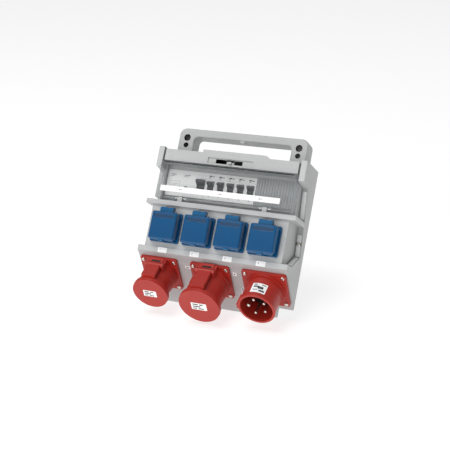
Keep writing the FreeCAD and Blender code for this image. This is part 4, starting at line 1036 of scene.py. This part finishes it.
def wire(name: str, runs: Sequence[Sequence[Vector]], radius_mm: float, finish: Finish, body: str
         ) -> bpy.types.Object:
    """Round wire along one or more runs of points, as one mesh piece.

    Args:
        name: the piece's name.
        runs: points of each run, in metres.
        radius_mm: radius of the wire.
        finish: its finish.
        body: the body that it rides on.

    Returns:
        The piece.
    """
    curve = bpy.data.curves.new(name, "CURVE")
    curve.dimensions = "3D"
    curve.bevel_depth = radius_mm * MM
    curve.bevel_resolution = 3
    curve.use_fill_caps = True
    for points in runs:
        spline = curve.splines.new("POLY")
        spline.points.add(len(points) - 1)
        for target, point in zip(spline.points, points):
            target.co = (*point, 1.0)
    holder = bpy.data.objects.new(name, curve)
    bpy.context.scene.collection.objects.link(holder)
    bpy.context.view_layer.update()
    data = bpy.data.meshes.new_from_object(holder.evaluated_get(bpy.context.evaluated_depsgraph_get()))
    bpy.data.objects.remove(holder)
    mesh = bmesh.new()
    mesh.from_mesh(data)
    return new_piece(name, mesh, finish, body, 60.0)


@dataclass
class SocketHardware:
    """Pins, springs and earth clips shared by the row of household sockets."""

    sockets: list[HouseholdSocket] = field(default_factory=list)
    wire_rad: float = 0.42

    def build(self) -> None:
        """Build the springs and dress the pins and clips."""
        springs = wire("socket_lid_coils", [socket.spring_points() for socket in self.sockets],
                       self.wire_rad, ZINC, "box")
        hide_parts("socket_lid_springs")
        keep("socket_hinge_pins", ZINC)
        keep("socket_earth_clips", NICKEL)


def beads(name: str, place: Place, barrel: float, rings: Iterable[tuple[float, float, float]], finish: Finish,
          body: str, edge_round: float = 0.3) -> None:
    """Moulded rings that stand proud of a barrel, as one piece.

    Args:
        name: the piece's name.
        place: the barrel's frame.
        barrel: its radius.
        rings: (D, rise, width) of each ring.
        finish: their finish.
        body: the body that they ride on.
        edge_round: rounding of their edges.
    """
    mesh = bmesh.new()
    for out, rise, wide in rings:
        ring(mesh, place, (0.0, 0.0), (barrel - 0.4, barrel + rise), (out, out + wide))
    piece = new_piece(name, mesh, finish, body)
    bevel(piece, edge_round)


@dataclass
class RoundSocket:
    """One round red socket: flanged housing, contact insert and hinged round lid."""

    name: str
    body: str
    barrel: float
    disc: float
    long: float
    flange_half: float
    contact_back: float = 8.4
    housing_round: float = 0.8
    lid_round: float = 1.3
    # size and place of the dark sheet painted as shade in the hinge slot
    slot_half: float = 8.0
    slot_d: tuple[float, float] = (10.0, 13.9)
    slot_rise: tuple[float, float] = (6.6, 6.98)
    plate_share: Bar = (-0.38, 0.38, -0.22, 0.2)
    plate_thick: float = 0.3
    plate_rows: tuple[Bar, ...] = (
        (-0.78, -0.1, 0.70, 0.86), (0.1, 0.55, 0.70, 0.86), (-0.78, 0.2, 0.40, 0.56),
        (-0.78, -0.3, 0.12, 0.26), (-0.1, 0.62, 0.12, 0.26))

    def place(self) -> Place:
        """Frame of the socket's face: D out of the slanted panel, X and Z from its centre."""
        point, outward = mount_of(f"{self.name}_outlet")
        return face_place(point, outward, (0.0, self.long - self.contact_back, 0.0))

    def build(self) -> None:
        """Build and dress the socket."""
        place = self.place()
        refined(f"{self.name}_socket_housing", RED, self.housing_round, "box")
        keep(f"{self.name}_socket_insert", INSERT_AND_SHADE)
        refined(f"{self.name}_socket_lid", RED, self.lid_round, self.body, 3)
        beads(f"{self.name}_barrel_rings", place, self.barrel,
              ((24.0, 0.9, 2.2), (self.long - 13.0, 1.2, 3.6)), RED, "box")
        beads(f"{self.name}_lid_rim", place, self.disc, ((self.long - 5.2, 0.5, 1.6),), RED, self.body)
        self.lid_plate(place)
        self.hinge_slot(place)

    def hinge_slot(self, place: Place) -> None:
        """Dark sheet on the block behind the lid's hinge: painted shade in the open slot there."""
        mesh = bmesh.new()
        low, high = (self.barrel + rise for rise in self.slot_rise)
        prism(mesh, place, block(-self.slot_half, self.slot_half, low, high), *self.slot_d)
        new_piece(f"{self.name}_hinge_slot", mesh, INSERT_AND_SHADE, "box")

    def lid_plate(self, place: Place) -> None:
        """White rating plate on the lid with plain grey bars in place of print."""
        left, right, low, high = (share * self.disc for share in self.plate_share)
        face = self.long + self.plate_thick
        mesh = bmesh.new()
        prism(mesh, place, rounded(left, right, low, high, 1.0), self.long, face)
        plate = new_piece(f"{self.name}_lid_plate_film", mesh, FILM, self.body)
        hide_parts(f"{self.name}_lid_plate")
        mesh = bmesh.new()
        tall = high - low
        mark(mesh, place, [(right * a, right * b, low + tall * c, low + tall * d)
                           for a, b, c, d in self.plate_rows], face)
        new_piece(f"{self.name}_lid_plate_print", mesh, INK, self.body)


@dataclass
class SupplyInlet:
    """The red pinned inlet with its shroud, label, key and five pins."""

    shroud: float = 30.0
    long: float = 51.5
    housing_round: float = 0.8
    pin_circle: float = 15.0
    pin_rad: float = 2.5
    earth_rad: float = 3.1
    pins: int = 5
    pin_root: float = 3.0
    pin_end: float = 47.5
    film_thick: float = 0.15
    label_span: Bar = (62.0, 110.0, 23.0, 43.0)
    label_bars: tuple[Bar, ...] = (
        (94.0, 104.0, 25.0, 27.0), (86.0, 104.0, 29.0, 32.0), (72.0, 90.0, 30.0, 35.0),
        (66.0, 84.0, 37.0, 40.5), (88.0, 104.0, 36.5, 38.0), (67.0, 80.0, 25.5, 27.0))

    def place(self) -> Place:
        """Frame of the inlet's face."""
        point, outward = mount_of("supply_inlet")
        return face_place(point, outward, (0.0, self.long, 0.0))

    def build(self) -> None:
        """Build and dress the inlet."""
        place = self.place()
        refined("inlet_housing", RED, self.housing_round, "box")
        keep("inlet_pin_carrier", INSERT_AND_SHADE)
        self.pin_set(place)
        beads("inlet_rim_beads", place, self.shroud, ((self.long - 3.2, 1.0, 3.0), (16.0, 0.9, 3.0)),
              RED, "box", 0.35)
        self.label(place)

    def pin_set(self, place: Place) -> None:
        """Five nickelled pins with rounded tips, the earth one thicker."""
        mesh = bmesh.new()
        for number in range(self.pins):
            angle = math.radians(180.0 + 360.0 / self.pins * number)
            radius = self.earth_rad if number == 0 else self.pin_rad
            tip = radius * 0.75
            shoulder = self.pin_end - tip
            profile = [(0.0, self.pin_root), (radius, self.pin_root), (radius, shoulder)]
            profile += [(radius * math.cos(turn), shoulder + tip * math.sin(turn))
                        for turn in map(math.radians, (20, 40, 60, 78))]
            profile += [(0.0, self.pin_end)]
            centre = (self.pin_circle * math.cos(angle), self.pin_circle * math.sin(angle))
            turned(mesh, place, centre, profile, 32)
        pins = new_piece("inlet_pin_set", mesh, NICKEL, "box", 50.0)
        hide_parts("inlet_pins")

    def label(self, place: Place) -> None:
        """Film wrapped round the top of the shroud, with plain dark bars in place of print."""
        face = self.shroud + self.film_thick
        film, ink = bmesh.new(), bmesh.new()
        curved_patch(film, place, (self.shroud, face), self.label_span)
        for bar in self.label_bars:
            curved_patch(ink, place, (face, face + PRINT_RISE), bar)
        new_piece("inlet_label_film", film, FILM, "box")
        new_piece("inlet_label_print", ink, INK, "box")


def curved_patch(mesh: bmesh.types.BMesh, place: Place, radii: tuple[float, float], span: Bar,
                 steps: int = 24) -> None:
    """Add a thin curved plate on a barrel.

    Args:
        mesh: the mesh that takes it.
        place: the barrel's frame.
        radii: its inner and outer radius.
        span: first and last angle in degrees from X towards Z, then first and last D.
        steps: facets along the curve.
    """
    start, end, low, high = span
    inner, outer = radii
    rows = []
    for step in range(steps + 1):
        angle = math.radians(start + (end - start) * step / steps)
        rows.append([mesh.verts.new(place.at(radius * math.cos(angle), out, radius * math.sin(angle)))
                     for radius, out in ((inner, low), (outer, low), (outer, high), (inner, high))])
    for first, second in zip(rows, rows[1:]):
        for corner in range(4):
            after = (corner + 1) % 4
            mesh.faces.new((first[corner], second[corner], second[after], first[after]))
    mesh.faces.new(rows[0])
    mesh.faces.new(list(reversed(rows[-1])))


@dataclass
class PanelStickers:
    """Small plain stickers and a clip on the slanted panel between the round fittings."""

    sink: float = 0.2
    film_rise: float = 0.2
    films: tuple[Bar, ...] = ((37.8, 44.2, 14.4, 21.6), (-46.5, -36.4, 15.2, 20.8))
    bars: tuple[Bar, ...] = ((39.8, 42.0, 16.6, 19.4), (-45.4, -37.6, 17.7, 18.6), (-45.4, -40.0, 16.2, 16.9))
    clip: Bar = (-42.6, -39.2, -22.0, -8.0)
    clip_wall: float = 1.4

    def build(self, middle: Place, inlet: Place) -> None:
        """Build them.

        Args:
            middle: frame of the middle round socket.
            inlet: frame of the supply inlet.
        """
        film, ink, clip = bmesh.new(), bmesh.new(), bmesh.new()
        for edges in self.films:
            prism(film, middle, rounded(*edges, 0.6), -self.sink, self.film_rise)
        new_piece("panel_sticker_films", film, FILM, "box")
        mark(ink, middle, self.bars, self.film_rise)
        new_piece("panel_sticker_print", ink, INK, "box")
        left, right, low, high = self.clip
        prism(clip, inlet, block(left, right, low, high), -self.sink, 1.6)
        prism(clip, inlet, block(left, left + self.clip_wall, low, high), 1.5, 6.0)
        # the clip takes the near-white painted highlight of the rim strips
        holder = new_piece("panel_clip", clip, PALE_RIM_HIGHLIGHT, "box")
        bevel(holder, 0.3)


@dataclass
class FlangeScrews:
    """The four screws of each round socket and of the inlet."""

    flange_thick: float = 5.0
    inset: float = 5.5
    screw: PanScrew = PanScrew(3.4, 2.2, 2.0)

    def build(self, mounts: Iterable[tuple[Place, float, float]]) -> None:
        """Build every screw.

        Args:
            mounts: each fitting's frame, half width and half height of its flange.
        """
        mesh = bmesh.new()
        for place, half_x, half_z in mounts:
            for side_x in (-1, 1):
                for side_z in (-1, 1):
                    centre = (side_x * (half_x - self.inset), side_z * (half_z - self.inset))
                    self.screw.add(mesh, place, centre, self.flange_thick)
        heads = new_piece("flange_screw_heads", mesh, NICKEL, "box")
        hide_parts("flange_screws")


# ------------------------------------------------------------------ stage

@dataclass(frozen=True)
class Softbox:
    """Square soft light aimed at the middle of the part."""

    name: str
    way: Point
    size: float
    watts: float
    away: float

    def build(self, aim: Vector) -> None:
        """Place the light, its distance and size in metres."""
        light = bpy.data.lights.new(self.name, "AREA")
        light.shape = "SQUARE"
        light.size = self.size
        light.energy = self.watts
        holder = bpy.data.objects.new(self.name, light)
        bpy.context.scene.collection.objects.link(holder)
        way = Vector(self.way).normalized()
        holder.location = aim + way * self.away
        holder.rotation_euler = way.to_track_quat("Z", "Y").to_euler()


@dataclass
class Studio:
    """Pale floor, two softboxes, pale surroundings and the camera."""

    target: Point = (-2.0, -2.9, 141.9)
    azimuth: float = 21.99
    elevation: float = 18.53
    distance: float = 1792.0
    lens: float = 86.8
    light_aim: float = 0.14
    lights: tuple[Softbox, ...] = (Softbox("key_softbox", (-0.17, -0.36, 0.92), 2.4, 84.0, 4.0),
                                   Softbox("fill_softbox", (-0.25, -0.95, 0.15), 1.5, 29.0, 3.0))
    floor_half: float = 30.0
    floor_colour: str = "#B4B4B4"
    floor_glow: float = 0.74
    world_glow: float = 0.26

    def build(self) -> None:
        """Build the stage, the lights and the camera."""
        scene = bpy.context.scene
        scene.view_settings.view_transform = "Standard"
        self.floor()
        self.world(scene)
        for light in self.lights:
            light.build(Vector((0.0, 0.0, self.light_aim)))
        self.camera(scene)

    def floor(self) -> None:
        """Large matt floor."""
        mesh = bmesh.new()
        bmesh.ops.create_grid(mesh, x_segments=1, y_segments=1, size=self.floor_half)
        data = bpy.data.meshes.new("floor")
        mesh.to_mesh(data)
        mesh.free()
        floor = bpy.data.objects.new("floor", data)
        bpy.context.scene.collection.objects.link(floor)
        material = bpy.data.materials.new("floor_paper_white")
        material.use_nodes = True
        shader = next(node for node in material.node_tree.nodes if node.type == "BSDF_PRINCIPLED")
        shader.inputs["Base Color"].default_value = linear(self.floor_colour)
        shader.inputs["Roughness"].default_value = 0.9
        shader.inputs["Specular IOR Level"].default_value = 0.0
        shader.inputs["Emission Color"].default_value = (1.0, 1.0, 1.0, 1.0)
        shader.inputs["Emission Strength"].default_value = self.floor_glow
        data.materials.append(material)

    def world(self, scene: bpy.types.Scene) -> None:
        """Even pale surroundings."""
        world = bpy.data.worlds.new("studio")
        world.use_nodes = True
        background = next(node for node in world.node_tree.nodes if node.type == "BACKGROUND")
        background.inputs["Color"].default_value = (1.0, 1.0, 1.0, 1.0)
        background.inputs["Strength"].default_value = self.world_glow
        scene.world = world

    def camera(self, scene: bpy.types.Scene) -> None:
        """Camera to the right of the front, looking a little down."""
        data = bpy.data.cameras.new("view")
        data.lens = self.lens
        data.sensor_width = 36.0
        data.clip_start = 0.05
        holder = bpy.data.objects.new("view", data)
        scene.collection.objects.link(holder)
        around, above = math.radians(self.azimuth), math.radians(self.elevation)
        level = math.cos(above)
        way = Vector((math.sin(around) * level, -math.cos(around) * level, math.sin(above)))
        holder.location = (Vector(self.target) + way * self.distance) * MM
        holder.rotation_euler = way.to_track_quat("Z", "Y").to_euler()
        scene.camera = holder


SOCKET_PITCH = 57.1


def main() -> None:
    """Build every sub-assembly in order and report it."""
    logging.basicConfig(level=logging.INFO, format="%(name)s: %(message)s")
    Enclosure().build()
    LOG.info("enclosure built")
    BreakerWindow().build()
    LOG.info("window built")
    SwitchRow().build()
    LOG.info("switch row built")
    sockets = [HouseholdSocket(number, (number - 2.5) * SOCKET_PITCH) for number in range(1, 5)]
    for socket in sockets:
        socket.build()
    SocketHardware(sockets).build()
    LOG.info("household sockets built")
    left = RoundSocket("left", "left_lid", 27.0, 30.5, 54.5, 32.6)
    middle = RoundSocket("middle", "middle_lid", 31.0, 35.0, 64.5, 33.95)
    inlet = SupplyInlet()
    for fitting in (left, middle, inlet):
        fitting.build()
    keep("red_lid_pins", ZINC)
    mounts = [(socket.place(), socket.flange_half, socket.flange_half) for socket in (left, middle)]
    FlangeScrews().build([*mounts, (inlet.place(), 37.4, 33.95)])
    PanelStickers().build(middle.place(), inlet.place())
    LOG.info("round fittings built")
    Studio().build()


if __name__ == "__main__":
    main()
